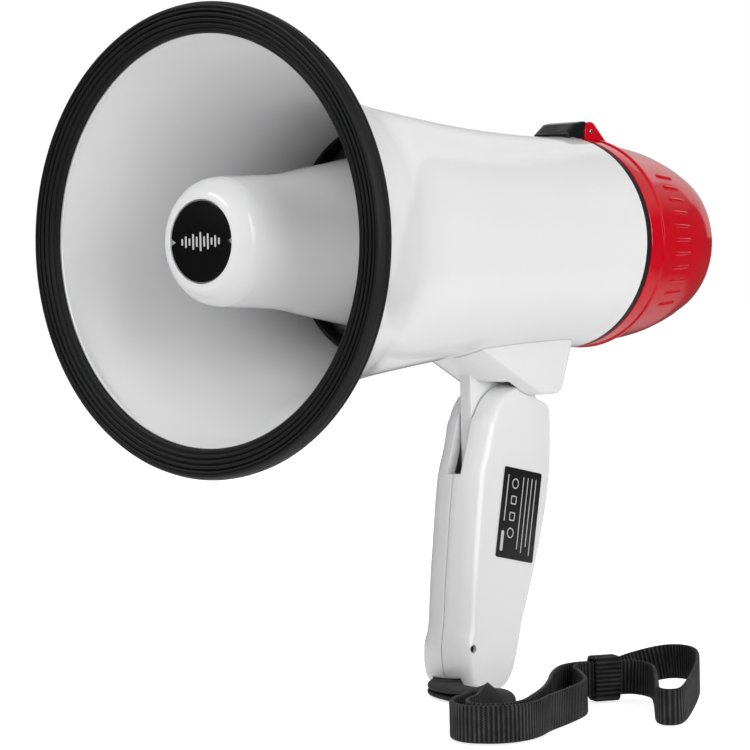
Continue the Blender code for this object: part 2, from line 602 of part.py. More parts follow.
def handle_half(name, side):
    """One moulded half: rounded outer shell, hollow inside, slotted for the leaf, bosses for screws."""
    edge = 3.0
    rings = [(0.15, 0.0), (HALF_W - edge, 0.0), (HALF_W - edge * 0.5, 0.4), (HALF_W - edge * 0.13, 1.5),
             (HALF_W, 3.0)]
    bm = bmesh.new()
    loops = []
    for x, d in rings:
        pts = inset(HANDLE_OUT, d) if d else HANDLE_OUT
        loops.append([bm.verts.new(place(side * x, s, z)) for s, z in pts])
    for a, b in zip(loops, loops[1:]):
        for i in range(len(a)):
            j = (i + 1) % len(a)
            bm.faces.new((a[i], a[j], b[j], b[i]))
    bm.faces.new(loops[0])
    bm.faces.new(loops[-1])
    ob = bm_object(name, bm, "white")
    hollow = prism("cut_hollow_%s" % name, inset(HANDLE_OUT, HANDLE_WALL), -1 * side, (HALF_W - 2.3) * side, None)
    boolean(ob, hollow)
    bosses = bmesh.new()
    rod_into(bosses, (side * 3.3, *PIVOT), (side * (HALF_W - 1.6), *PIVOT), 6.2, 24)
    for s, z in HANDLE_SCREWS:
        rod_into(bosses, (side * 0.15, s, z), (side * (HALF_W - 1.6), s, z), 3.8, 18)
    rod_into(bosses, (side * 6.6, *STRAP_PIN), (side * (HALF_W - 1.6), *STRAP_PIN), 2.6, 14)
    boolean(ob, bm_object("cut_boss_%s" % name, bosses, None), "UNION")
    slot = [PIVOT, (180.0, -43.0), (110.0, -43.0), (110.0, SLOT_FLOOR), (133.4, SLOT_FLOOR)]
    slot += arc(PIVOT, SLOT_R, 216, 285, 7)
    boolean(ob, prism("cut_slot_%s" % name, slot, -SLOT_HALF, SLOT_HALF, None))
    bores = bmesh.new()
    rod_into(bores, (side * 1.0, *PIVOT), (side * (HALF_W - 2.4), *PIVOT), PIVOT_R + 0.1, 32)
    for s, z in HANDLE_SCREWS:
        if side < 0:
            rod_into(bores, (1.0, s, z), (-12.0, s, z), 1.5, 14)
        else:
            rod_into(bores, (-1.0, s, z), (7.8, s, z), 1.5, 14)
    rod_into(bores, (side * -1.0, *STRAP_PIN), (side * 12.0, *STRAP_PIN), STRAP_PIN_R + 0.2, 16)
    boolean(ob, bm_object("cut_bores_%s" % name, bores, None))
    if side < 0:
        wells = bmesh.new()
        for s, z in HANDLE_SCREWS:
            rod_into(wells, (-8.6, s, z), (-12.0, s, z), 3.0, 20)
        boolean(ob, bm_object("cut_wells", wells, None))
    exit_cut = [(110.0, -163.5), (110.0, -154.6), (119.0, -153.4), (126.0, -153.4), (130.0, -155.4),
                (131.4, -158.0), (131.4, -163.5)]
    boolean(ob, prism("cut_exit_%s" % name, exit_cut, -7.4, 7.4, None))
    return ob


def handle():
    handle_half("handle_left", 1)
    handle_half("handle_right", -1)
    rod("pivot_pin", (-8.3, *PIVOT), (8.3, *PIVOT), PIVOT_R, "steel", 32)
    for k, (s, z) in enumerate(HANDLE_SCREWS):
        screw_part("handle_screw_%d" % (k + 1), (-10.4, s, z), (7.2, s, z), 2.7, 1.5, 1.2, segs=12)
    rod("strap_pin", (-HALF_W + 1.0, *STRAP_PIN), (HALF_W - 1.0, *STRAP_PIN), STRAP_PIN_R, "steel", 16)
    label = [(142.3, -80.6), (164.9, -85.0), (157.9, -118.1), (135.3, -113.6)]
    bm = bmesh.new()
    pts = []
    for i, (a, b) in enumerate(zip(label, label[1:] + label[:1])):
        c = label[i - 1]
        va, vc = Vector(b) - Vector(a), Vector(c) - Vector(a)
        pts += [tuple(Vector(a) + vc.normalized() * 1.0), tuple(Vector(a) + va.normalized() * 1.0)]
    return prism("rating_label", pts, HALF_W + 0.02, HALF_W + 0.32, "black")


# ---------------------------------------------------------------- wrist strap
# centre line of the doubled strap, from the pin in the handle to the keeper: x, s, height above the
# ground, the side on which the outer strand lies, and half the distance between the strands
STRAP_RUN = [
    ((0.0, 127.4, 15.5), (0.0, 1.0, 0.0), 2.4), ((0.0, 127.2, 10.5), (0.0, 1.0, 0.0), 2.4),
    ((0.0, 124.6, 5.6), (0.0, 0.7, -0.7), 2.5), ((1.0, 117.5, 4.0), (0.0, 0.0, -1.0), 2.5),
    ((8.0, 110.0, 4.0), (0.0, 0.0, -1.0), 2.5), ((22.0, 104.0, 4.0), (0.0, 0.0, -1.0), 2.5),
    ((38.5, 95.5, 4.4), (-0.05, -0.06, -0.99), 2.5), ((51.0, 84.0, 6.0), (-0.26, -0.24, -0.93), 2.5),
    ((58.5, 73.0, 7.2), (-0.62, -0.36, -0.70), 2.5), ((62.8, 61.5, 7.4), (-0.88, -0.34, -0.33), 2.5),
    ((65.6, 52.0, 6.8), (-0.98, -0.18, 0.0), 2.5), ((68.2, 43.6, 6.7), (-0.92, -0.38, 0.0), 2.5),
    ((73.8, 36.4, 6.7), (-0.66, -0.75, 0.0), 2.5), ((81.2, 33.0, 6.7), (-0.14, -0.99, 0.0), 2.5),
    ((88.6, 36.2, 6.7), (0.68, -0.73, 0.0), 2.5), ((91.4, 43.5, 6.7), (0.99, -0.10, 0.0), 2.5),
    ((90.2, 52.5, 6.7), (0.98, 0.18, 0.0), 2.5), ((85.5, 64.0, 6.7), (0.95, 0.30, 0.0), 2.8),
    ((79.5, 80.0, 6.8), (0.94, 0.33, 0.0), 4.4), ((72.0, 96.0, 7.0), (0.89, 0.46, 0.0), 6.0),
    ((62.5, 108.5, 7.5), (0.86, 0.51, 0.0), 4.8), ((55.8, 118.0, 8.1), (0.95, 0.32, 0.0), 2.6),
    ((55.2, 125.0, 8.4), (0.94, -0.34, 0.0), 1.5), ((58.2, 130.8, 8.4), (0.86, -0.51, 0.0), 1.5),
    ((61.6, 136.6, 8.4), (0.86, -0.51, 0.0), 1.5)]
KEEPER_INDEX = (23, 24)
# end loop beyond the keeper: x, s, height
STRAP_LOOP = [
    (67.0, 141.8, 8.2), (75.5, 140.0, 7.7), (85.0, 129.0, 7.2), (97.0, 112.5, 6.7), (107.5, 98.5, 6.6),
    (113.3, 96.0, 6.6), (114.6, 101.5, 6.8), (109.0, 115.0, 8.6), (99.0, 134.0, 11.5),
    (87.0, 149.0, 13.2), (73.5, 154.0, 12.8), (64.3, 148.0, 10.6)]


def spline(points, per):
    """Catmull-Rom through the points, per samples to each span."""
    p = np.array(points, float)
    p = np.vstack([2 * p[0] - p[1], p, 2 * p[-1] - p[-2]])
    out = []
    for i in range(1, len(p) - 2):
        a, b, c, d = p[i - 1], p[i], p[i + 1], p[i + 2]
        for k in range(per):
            t = k / per
            out.append(0.5 * (2 * b + (c - a) * t + (2 * a - 5 * b + 4 * c - d) * t * t
                              + (3 * b - a - 3 * c + d) * t ** 3))
    out.append(p[-2])
    return np.array(out)


def strap_path():
    """Centre line of the webbing and its width direction, sampled along the whole loop."""
    run = spline([(*c, *n, h) for c, n, h in STRAP_RUN], 3)
    centre, side, half = run[:, :3], run[:, 3:6], run[:, 6]
    tangent = np.gradient(centre, axis=0)
    tangent /= np.linalg.norm(tangent, axis=1)[:, None]
    side = side - tangent * np.sum(side * tangent, axis=1)[:, None]
    side /= np.linalg.norm(side, axis=1)[:, None]
    width = np.cross(tangent, side)
    outer = centre + side * half[:, None]
    inner = centre - side * half[:, None]
    loop = spline([tuple(outer[-1])] + STRAP_LOOP + [tuple(inner[-1])], 3)[1:-1]
    flat = np.tile(width[-1], (len(loop), 1))
    line = np.vstack([outer, loop, inner[::-1]])
    across = np.vstack([width, flat, width[::-1]])
    step = np.linalg.norm(np.diff(line, axis=0), axis=1)
    keep = [0]
    for i in range(1, len(line)):
        if np.linalg.norm(line[i] - line[keep[-1]]) > 5.0:
            keep.append(i)
    return line[keep], across[keep], float(step.sum())


def frame_point(p):
    return place(p[0], p[1], p[2] + HANDLE_BOTTOM)


def strap():
    line, across, _ = strap_path()
    tangent = np.gradient(line, axis=0)
    tangent /= np.linalg.norm(tangent, axis=1)[:, None]
    across = across - tangent * np.sum(across * tangent, axis=1)[:, None]
    across /= np.linalg.norm(across, axis=1)[:, None]
    thick = np.cross(tangent, across)
    bm = bmesh.new()
    rings = []
    for p, w, n in zip(line, across, thick):
        rings.append([bm.verts.new(frame_point(p + w * STRAP_W / 2 * a + n * STRAP_T / 2 * b))
                      for a, b in ((-1, -1), (1, -1), (1, 1), (-1, 1))])
    for a, b in zip(rings, rings[1:]):
        for i in range(4):
            j = (i + 1) % 4
            bm.faces.new((a[i], a[j], b[j], b[i]))
    bm.faces.new(rings[0])
    bm.faces.new(rings[-1])
    bm_object("strap_webbing", bm, "webbing")


def strap_keeper():
    """Sleeve that holds the two strands together."""
    a, b = np.array(STRAP_RUN[KEEPER_INDEX[0]][0]), np.array(STRAP_RUN[KEEPER_INDEX[1]][0])
    along = (b - a) / np.linalg.norm(b - a)
    up = np.array((0.0, 0.0, 1.0))
    side = np.cross(along, up)
    mid = (a + b) / 2
    bm = bmesh.new()
    rings = []
    for d, w, h in ((-4.6, 4.3, 7.9), (4.6, 4.3, 7.9), (4.6, 3.0, 6.6), (-4.6, 3.0, 6.6)):
        rings.append([bm.verts.new(frame_point(mid + along * d + side * w * i + up * h * j))
                      for i, j in ((-1, -1), (1, -1), (1, 1), (-1, 1))])
    for k in range(4):
        a4, b4 = rings[k], rings[(k + 1) % 4]
        for i in range(4):
            j = (i + 1) % 4
            bm.faces.new((a4[i], a4[j], b4[j], b4[i]))
    bm_object("strap_keeper", bm, "webbing")


def build():
    clear_scene()
    rim_gasket()
    horn_body()
    reflector_bullet()
    nose_badge()
    bullet_screw()
    throat_gasket()
    throat_bulkhead()
    throat_tube()
    driver_frame()
    driver_diaphragm()
    driver_magnet()
    driver_screws()
    amplifier()
    battery_bay()
    seam_seal()
    rear_cap()
    mouthpiece()
    volume_knob()
    mode_switch()
    talk_button()
    latch()
    bracket()
    handle()
    strap()
    strap_keeper()


build()
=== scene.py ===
import json
from math import acos, atan2, cos, hypot, pi, radians, sin, sqrt, tan
import bpy
import bmesh
import numpy as np
from mathutils import Matrix, Vector
from numpy.linalg import norm


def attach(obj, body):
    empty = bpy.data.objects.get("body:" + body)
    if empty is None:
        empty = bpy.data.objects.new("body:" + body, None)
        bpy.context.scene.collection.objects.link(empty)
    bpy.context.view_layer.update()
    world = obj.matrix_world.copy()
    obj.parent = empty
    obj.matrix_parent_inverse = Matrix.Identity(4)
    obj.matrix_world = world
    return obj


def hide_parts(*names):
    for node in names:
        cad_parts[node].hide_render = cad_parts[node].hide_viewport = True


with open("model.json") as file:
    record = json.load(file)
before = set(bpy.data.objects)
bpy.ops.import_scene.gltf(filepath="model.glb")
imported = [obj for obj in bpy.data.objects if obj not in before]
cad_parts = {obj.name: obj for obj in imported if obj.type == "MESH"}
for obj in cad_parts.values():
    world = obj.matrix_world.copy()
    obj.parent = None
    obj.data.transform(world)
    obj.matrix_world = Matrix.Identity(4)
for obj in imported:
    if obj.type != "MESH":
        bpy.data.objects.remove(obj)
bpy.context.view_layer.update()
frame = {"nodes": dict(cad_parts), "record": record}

MM = 0.001
MID_S = 124.8    # the row frame's origin lies at this station
FOOT = -162.0    # the ground, level with the foot of the grip

# stations and radii down the outside of the horn
BODY_OUT = [(2.0, 72.9), (12, 67.6), (20, 63.6), (28, 60.0), (36, 56.7), (44, 53.7), (51, 51.3),
            (59, 49.2), (70, 47.3), (90, 44.9), (115, 42.3), (140, 40.5), (170, 39.4), (194.2, 39.7)]
WALL = 2.1
BADGE_R = 13.3
PIVOT, PIVOT_BORE = (152.0, -71.0), 3.1
HALF_W = 11.0
TAPER = ((214.5, 228.5), (37.95, 36.1))    # stations and radii of the cap under its finger ribs
LATCH_PIN = (203.3, 41.6)
KNOB_AT, TALK_AT, MODE_AT = (16.5, 0.0), (0.0, 16.5), (-3.0, -16.5)
DIAL_R = 6.9
DIAL_S = (242.2, 242.4)
PANEL_CUT = (238, 245)
STRAP_PIN = (122.6, -145.5)
HANDLE_SCREWS = [(150.0, -101.0), (141.0, -126.0)]
BRACKET_HALF, BRACKET_FOOT = 15.5, -56.0
STRAP_W, STRAP_T = 12.0, 1.6
RIB_PITCH, RIB_STEPS = 1.5, 4


def place(x, s, z):
    return Vector((x, s - MID_S, z - FOOT)) * MM


def side_on(s, z, x):
    return place(x, s, z)


def end_on(x, z, s):
    return place(x, s, z)


def link(ob):
    bpy.context.scene.collection.objects.link(ob)
    return ob


# ---- camera
cam_data = bpy.data.cameras.new("camera")
camera = link(bpy.data.objects.new("camera", cam_data))
bpy.context.scene.camera = camera
cam_data.sensor_width = 36.0
cam_data.lens = 139.3
cam_data.clip_start, cam_data.clip_end = 0.02, 60.0
RIGHT = Vector((0.76161, 0.64768, -0.02138)).normalized()
BACK = -Vector((-0.64803, 0.76120, -0.02513)).normalized()
UP = BACK.cross(RIGHT).normalized()
EYE = (0.65545, -0.81034, 0.14112)
camera.matrix_world = Matrix.Translation(EYE) @ Matrix((RIGHT, UP, BACK)).transposed().to_4x4()


# ---- materials
def feed(tree, made, inputs):
    """Link the sockets among the inputs and set the constants."""
    for key, value in inputs.items():
        if isinstance(value, bpy.types.NodeSocket):
            tree.links.new(value, made.inputs[key])
        else:
            made.inputs[key].default_value = value


def node(tree, kind, inputs=None, **props):
    made = tree.nodes.new("ShaderNode" + kind)
    for key, value in props.items():
        setattr(made, key, value)
    feed(tree, made, inputs or {})
    return made


def noise(tree, where, scale, detail=3.0, rough=0.55, stretch=None, distortion=0.0):
    if stretch:
        where = node(tree, "Mapping", {"Vector": where, "Scale": stretch}).outputs[0]
    return node(tree, "TexNoise", {"Vector": where, "Scale": scale, "Detail": detail,
                                   "Roughness": rough, "Distortion": distortion}).outputs[0]


def ramp(tree, value, stops):
    made = node(tree, "ValToRGB", {"Fac": value})
    items = made.color_ramp.elements
    while len(items) < len(stops):
        items.new(0.5)
    for item, (at, colour) in zip(items, stops):
        item.position = at
        item.color = (*colour, 1.0)
    return made.outputs[0]


def span(tree, value, low, high, to_low, to_high):
    return node(tree, "MapRange", {"Value": value, "From Min": low, "From Max": high,
                                   "To Min": to_low, "To Max": to_high}).outputs[0]


def calc(tree, how, *values):
    return node(tree, "Math", dict(enumerate(values)), operation=how).outputs[0]


def bump(tree, height, distance, strength=1.0, normal=None):
    inputs = {"Height": height, "Distance": distance, "Strength": strength}
    if normal is not None:
        inputs["Normal"] = normal
    return node(tree, "Bump", inputs).outputs[0]


def tint(colour, k):
    return tuple(min(1.0, c * k) for c in colour)


def start(name):
    mat = bpy.data.materials.new(name)
    mat.use_nodes = True
    tree = mat.node_tree
    return mat, tree, tree.nodes["Principled BSDF"], node(tree, "TexCoord").outputs["Object"]


def moulded(name, colour, rough=(0.16, 0.26), mottle=0.03, peel=(120.0, 0.00003),
            grain=(1800.0, 0.000004), edge=0.0, spec=0.5):
    """Moulded plastic: faint clouding, scuffs in the gloss, orange peel and grain, both (scale, depth).
    edge is the radius in metres of edges softened in the shading."""
    mat, tree, shader, where = start(name)
    cloud = noise(tree, where, 22.0, 4.0)
    flow = noise(tree, where, 60.0, 5.0, 0.6, (1.0, 0.25, 1.0), 0.4)
    mixed = calc(tree, "MULTIPLY_ADD", flow, 0.4, calc(tree, "MULTIPLY", cloud, 0.6))
    shade = ramp(tree, mixed, [(0.30, tint(colour, 1 - mottle)), (0.52, colour),
                               (0.72, tint(colour, 1 + mottle * 0.6))])
    scuff = noise(tree, where, 240.0, 7.0, 0.68, (1.0, 0.35, 1.0), 0.8)
    normal = None
    if edge:
        normal = node(tree, "Bevel", {"Radius": edge}, samples=4).outputs[0]
    normal = bump(tree, noise(tree, where, peel[0], 2.0), peel[1], 1.0, normal)
    normal = bump(tree, noise(tree, where, grain[0], 3.0), grain[1], 1.0, normal)
    feed(tree, shader, {"Base Color": shade, "Roughness": span(tree, scuff, 0.35, 0.75, *rough),
                        "Normal": normal, "IOR": 1.5, "Specular IOR Level": spec})
    return mat


def rubbery(name, colour, bloom):
    """Moulded rubber: matt, with a fine grain and patches of pale bloom."""
    mat, tree, shader, where = start(name)
    patch = noise(tree, where, 45.0, 6.0, 0.65)
    dust = noise(tree, where, 1300.0, 3.0, 0.7)
    both = calc(tree, "MULTIPLY_ADD", dust, 0.45, calc(tree, "MULTIPLY", patch, 0.55))
    shade = ramp(tree, both, [(0.35, colour), (0.60, tint(colour, 1.5)), (0.80, bloom)])
    feed(tree, shader, {"Base Color": shade, "Roughness": span(tree, both, 0.3, 0.7, 0.42, 0.62),
                        "Normal": bump(tree, noise(tree, where, 900.0, 4.0, 0.6), 0.00005),
                        "Specular IOR Level": 0.26})
    return mat


def metal(name, colour, rough=(0.22, 0.42)):
    """Plated or drawn metal with fine draw lines and patchy tarnish."""
    mat, tree, shader, where = start(name)
    lines = noise(tree, where, 500.0, 4.0, 0.6, (1.0, 40.0, 1.0))
    tarnish = noise(tree, where, 70.0, 6.0, 0.6)
    both = calc(tree, "MULTIPLY_ADD", tarnish, 0.6, calc(tree, "MULTIPLY", lines, 0.4))
    shade = ramp(tree, both, [(0.32, tint(colour, 0.72)), (0.50, colour), (0.70, tint(colour, 1.12))])
    feed(tree, shader, {"Base Color": shade, "Roughness": span(tree, both, 0.3, 0.7, *rough),
                        "Normal": bump(tree, lines, 0.00001), "Metallic": 1.0})
    return mat


def laminate(name, colour, trace):
    """Circuit board: solder mask over a grid of tracks and pads."""
    mat, tree, shader, where = start(name)
    cells = node(tree, "TexVoronoi", {"Vector": where, "Scale": 330.0},
                 distance="CHEBYCHEV", feature="DISTANCE_TO_EDGE").outputs[0]
    pads = node(tree, "TexVoronoi", {"Vector": where, "Scale": 190.0}).outputs[0]
    tracks = calc(tree, "LESS_THAN", cells, 0.06)
    dots = calc(tree, "LESS_THAN", pads, 0.16)
    cloud = noise(tree, where, 260.0, 3.0)
    base = ramp(tree, cloud, [(0.4, tint(colour, 0.85)), (0.6, tint(colour, 1.15))])
    share = calc(tree, "MAXIMUM", calc(tree, "MULTIPLY", tracks, 0.45), dots)
    mix = node(tree, "Mix", {0: share, 6: base, 7: (*trace, 1.0)}, data_type="RGBA")
    feed(tree, shader, {"Base Color": mix.outputs[2], "Roughness": span(tree, dots, 0.0, 1.0, 0.34, 0.22),
                        "Normal": bump(tree, tracks, 0.00003)})
    return mat


def thready(name, colour):
    """Sewing thread: fine plies, worn in patches."""
    mat, tree, shader, where = start(name)
    plies = noise(tree, where, 3200.0, 2.0, 0.5, (1.0, 1.0, 3.0))
    wear = noise(tree, where, 150.0, 4.0)
    both = calc(tree, "MULTIPLY_ADD", plies, 0.5, calc(tree, "MULTIPLY", wear, 0.5))
    shade = ramp(tree, both, [(0.35, tint(colour, 0.5)), (0.6, colour), (0.8, tint(colour, 1.9))])
    feed(tree, shader, {"Base Color": shade, "Roughness": span(tree, plies, 0.3, 0.7, 0.65, 0.4),
                        "Normal": bump(tree, plies, 0.00006)})
    return mat


def woven(name, colour, light):
    """Nylon webbing: weft ribs along its length, warp yarns across its width, twist and stray fibres.
    The mesh's weave attribute holds (distance across, distance along) in millimetres."""
    mat, tree, shader, where = start(name)
    weave = node(tree, "Attribute", attribute_name="weave").outputs["Vector"]
    part = node(tree, "SeparateXYZ", {"Vector": weave})
    along, across = part.outputs[1], part.outputs[0]
    yarn_pitch, twist_pitch, twist_slant = 0.85, 0.30, 9.0
    rib = calc(tree, "COSINE", calc(tree, "MULTIPLY", along, 2 * pi / RIB_PITCH))
    shift = calc(tree, "MULTIPLY", calc(tree, "FLOOR", calc(tree, "DIVIDE", along, RIB_PITCH / 2)), pi)
    yarn = calc(tree, "SINE", calc(tree, "MULTIPLY_ADD", across, 2 * pi / yarn_pitch, shift))
    twist = calc(tree, "SINE", calc(tree, "MULTIPLY_ADD", along, 2 * pi / twist_pitch,
                                    calc(tree, "MULTIPLY", across, twist_slant)))
    fuzz = noise(tree, where, 2600.0, 4.0, 0.7)
    height = calc(tree, "MULTIPLY_ADD", yarn, 0.4, calc(tree, "MULTIPLY_ADD", twist, 0.16,
                  calc(tree, "MULTIPLY_ADD", fuzz, 0.7, calc(tree, "MULTIPLY", rib, -0.75))))
    fade = noise(tree, where, 90.0, 4.0, 0.6)
    # Painted shade and highlight: the colour follows the weave's height, darker in the hollows between ribs
    # and yarns and paler on their crests, mixed with a random fade.
    rib_shade_and_fade = calc(tree, "MULTIPLY_ADD", height, 0.22, calc(tree, "MULTIPLY", fade, 0.6))
    shade = ramp(tree, rib_shade_and_fade, [(0.14, tint(colour, 0.4)), (0.38, colour), (0.60, light)])
    feed(tree, shader, {"Base Color": shade, "Roughness": span(tree, height, -0.5, 1.2, 0.78, 0.52),
                        "Normal": bump(tree, height, 0.00010, 0.9), "Sheen Weight": 0.05,
                        "Sheen Roughness": 0.4, "Specular IOR Level": 0.26})
    return mat


WHITE, RED, BLACK = (0.80, 0.80, 0.805), (0.58, 0.0, 0.010), (0.0065, 0.0065, 0.0075)
MATS = {
    "white": moulded("white_gloss", WHITE, (0.07, 0.13), 0.012, (90.0, 0.00002)),
    "white_plastic": moulded("white_gloss_parts", WHITE, (0.10, 0.18), 0.014, (90.0, 0.00002), edge=0.0004),
    "red_plastic": moulded("red_gloss", RED, (0.07, 0.13), 0.05, (90.0, 0.00002), spec=0.40),
    "black_plastic": moulded("black_satin", BLACK, (0.26, 0.42), 0.25, (200.0, 0.00004), (1500.0, 0.00002),
                             edge=0.0003),
    "black_gloss": moulded("black_gloss", BLACK, (0.14, 0.26), 0.25, edge=0.0003),
    "badge": moulded("badge_print", (0.0032, 0.0032, 0.0032), (0.30, 0.42), 0.3, (400.0, 0.00002),
                     spec=0.14),
    "mark": moulded("mark_print", (0.58, 0.58, 0.59), (0.30, 0.42), 0.08, (500.0, 0.00002)),
    "border": moulded("border_print", (0.78, 0.78, 0.78), (0.34, 0.46), 0.04, (500.0, 0.00002)),
    "label": moulded("label_film", (0.009, 0.009, 0.0095), (0.30, 0.44), 0.25, (260.0, 0.00003), spec=0.3),
    "grey_plastic": moulded("grey_satin", (0.23, 0.23, 0.24), (0.28, 0.42), 0.08, (200.0, 0.00004),
                            edge=0.0003),
    "diaphragm": moulded("phenolic_film", (0.42, 0.26, 0.10), (0.25, 0.40), 0.10),
    "cell": moulded("cell_jacket", (0.09, 0.11, 0.30), (0.22, 0.36), 0.12),
    "black_rubber": rubbery("rim_rubber", (0.0050, 0.0050, 0.0052), (0.022, 0.022, 0.0225)),
    "seal": rubbery("seal_rubber", (0.006, 0.0065, 0.008), (0.020, 0.021, 0.024)),
    "steel": metal("zinc_steel", (0.56, 0.56, 0.57)),
    "dark_steel": metal("blackened_steel", (0.045, 0.045, 0.05), (0.35, 0.5)),
    "bright_pin": metal("polished_pin", (0.86, 0.85, 0.84), (0.10, 0.2)),
    "brass": metal("contact_brass", (0.72, 0.53, 0.22)),
    "ferrite": metal("ferrite_block", (0.055, 0.055, 0.06), (0.5, 0.7)),
    "board": laminate("solder_mask", (0.012, 0.10, 0.035), (0.45, 0.38, 0.18)),
    # the webbing's second colour is the painted highlight on its rib crests
    "webbing": woven("black_webbing", (0.0052, 0.0052, 0.0055), (0.060, 0.060, 0.061)),
    "thread": thready("stitch_thread", (0.022, 0.022, 0.0225)),
}


# ---- shape helpers
def polar(centre, r, a):
    return (centre[0] + r * cos(a), centre[1] + r * sin(a))


def arc(centre, r, a0, a1, n):
    return [polar(centre, r, radians(a0 + (a1 - a0) * i / n)) for i in range(n + 1)]


def ring(centre, r, n):
    return arc(centre, r, 0, 360, n)[:-1]


def block(u, v, half_u, half_v, r, steps=4):
    """Rectangle about (u, v) with rounded corners."""
    return rounded([(u - half_u, v - half_v, r), (u + half_u, v - half_v, r),
                    (u + half_u, v + half_v, r), (u - half_u, v + half_v, r)], steps)


def rounded(loop, steps=4):
    """Turn each corner written (u, v, radius) into an arc; plain (u, v) corners stay."""
    out = []
    for i, p in enumerate(loop):
        b = np.array(p[:2], float)
        if len(p) < 3:
            out.append(tuple(b))
            continue
        u = np.array(loop[i - 1][:2], float) - b
        v = np.array(loop[(i + 1) % len(loop)][:2], float) - b
        lu, lv = norm(u), norm(v)
        u, v = u / lu, v / lv
        half = acos(max(-1.0, min(1.0, float(u @ v)))) / 2
        if half > pi / 2 - 0.02:
            out.append(tuple(b))
            continue
        t = min(p[2] / tan(half), 0.48 * lu, 0.48 * lv)
        r = t * tan(half)
        mid = (u + v) / norm(u + v)
        centre = b + mid * r / sin(half)
        first, last = b + u * t - centre, b + v * t - centre
        a0, a1 = atan2(first[1], first[0]), atan2(last[1], last[0])
        turn = (a1 - a0 + pi) % (2 * pi) - pi
        out += [polar(centre, r, a0 + turn * k / steps) for k in range(steps + 1)]
    return out


def smooth_run(points, per):
    """Catmull-Rom through the points, per samples to each span."""
    p = np.array(points, float)
    p = np.vstack([2 * p[0] - p[1], p, 2 * p[-1] - p[-2]])
    out = []
    for i in range(1, len(p) - 2):
        a, b, c, d = p[i - 1], p[i], p[i + 1], p[i + 2]
        for k in range(per):
            t = k / per
            out.append(0.5 * (2 * b + (c - a) * t + (2 * a - 5 * b + 4 * c - d) * t * t
                              + (3 * b - a - 3 * c + d) * t ** 3))
    out.append(p[-2])
    return np.array(out)


def curve(points, per):
    return [tuple(p) for p in smooth_run(points, per)]


def inset(outline, d):
    """Move every side of the outline in by d."""
    pts = np.array(outline, float)
    nxt, prv = np.roll(pts, -1, 0), np.roll(pts, 1, 0)
    area = 0.5 * float(np.sum(pts[:, 0] * nxt[:, 1] - nxt[:, 0] * pts[:, 1]))
    sign = 1.0 if area > 0 else -1.0
    e1, e2 = pts - prv, nxt - pts
    n1 = sign * np.stack([-e1[:, 1], e1[:, 0]], 1) / norm(e1, axis=1)[:, None]
    n2 = sign * np.stack([-e2[:, 1], e2[:, 0]], 1) / norm(e2, axis=1)[:, None]
    mid = n1 + n2
    mid /= np.sum(mid * n1, axis=1)[:, None]
    return [tuple(p) for p in pts + mid * d]


def as_object(name, bm):
    bmesh.ops.recalc_face_normals(bm, faces=bm.faces)
    me = bpy.data.meshes.new(name)
    bm.to_mesh(me)
    bm.free()
    return link(bpy.data.objects.new(name, me))


def turned(name, loop, segs=160, at=(0.0, 0.0)):
    """Solid turned about the axis through at, from a closed loop of stations and radii."""
    bm = bmesh.new()
    rings = []
    for s, r in loop:
        if r < 1e-6:
            rings.append([bm.verts.new(end_on(*at, s))] * segs)
        else:
            rings.append([bm.verts.new(end_on(*polar(at, r, 2 * pi * k / segs), s)) for k in range(segs)])
    for a, b in zip(rings, rings[1:] + rings[:1]):
        if a[0] is a[1] and b[0] is b[1]:
            continue
        for k in range(segs):
            j = (k + 1) % segs
            bm.faces.new(list(dict.fromkeys((a[k], a[j], b[j], b[k]))))
    return as_object(name, bm)


def loft(bm, loops, closed=False):
    """Skin over a run of loops, capped at both ends or closed on itself."""
    rows = [[bm.verts.new(p) for p in loop] for loop in loops]
    for a, b in zip(rows, rows[1:] + (rows[:1] if closed else [])):
        for i in range(len(a)):
            j = (i + 1) % len(a)
            bm.faces.new((a[i], a[j], b[j], b[i]))
    if not closed:
        bm.faces.new(rows[0])
        bm.faces.new(rows[-1])


def add_slab(bm, outline, low, high, where, edge=0.0, steps=3):
    """Solid between two parallel planes, its rims rounded by edge."""
    rim = [(0.0, 0.0)]
    if edge:
        turns = [pi / 2 * k / steps for k in range(steps + 1)]
        rim = [(edge * (1 - cos(a)), edge * (1 - sin(a))) for a in turns]
    rows = [(low + w, d) for w, d in rim] + [(high - w, d) for w, d in reversed(rim)]
    loft(bm, [[where(u, v, w) for u, v in (inset(outline, d) if d > 1e-9 else outline)] for w, d in rows])


def slab(name, outline, low, high, where, edge=0.0, steps=3):
    bm = bmesh.new()
    add_slab(bm, outline, low, high, where, edge, steps)
    return as_object(name, bm)


def add_box(bm, x0, x1, s0, s1, z0, z1):
    size = Vector((x1 - x0, s1 - s0, z1 - z0)) * MM
    centre = place((x0 + x1) / 2, (s0 + s1) / 2, (z0 + z1) / 2)
    bmesh.ops.create_cube(bm, size=1.0, matrix=Matrix.Translation(centre) @ Matrix.Diagonal((*size, 1.0)))


def combine(ob, tool, how="DIFFERENCE"):
    """Apply one exact boolean at once and drop the tool."""
    mod = ob.modifiers.new("shape", "BOOLEAN")
    mod.operation, mod.solver, mod.object = how, "EXACT", tool
    bpy.context.view_layer.update()
    deps = bpy.context.evaluated_depsgraph_get()
    made = bpy.data.meshes.new_from_object(ob.evaluated_get(deps), depsgraph=deps)
    ob.modifiers.clear()
    ob.data = made
    made.name = ob.name
    bpy.data.objects.remove(tool, do_unlink=True)


def show(ob, look, body, replaced=(), sharp=35.0):
    """Finish the piece, tie it to its CAD body and hide the CAD nodes it stands for."""
    ob.data.materials.clear()
    ob.data.materials.append(MATS[look])
    ob.data.shade_smooth()
    ob.data.set_sharp_from_angle(angle=radians(sharp))
    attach(ob, body)
    if replaced:
        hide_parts(*replaced)
    return ob


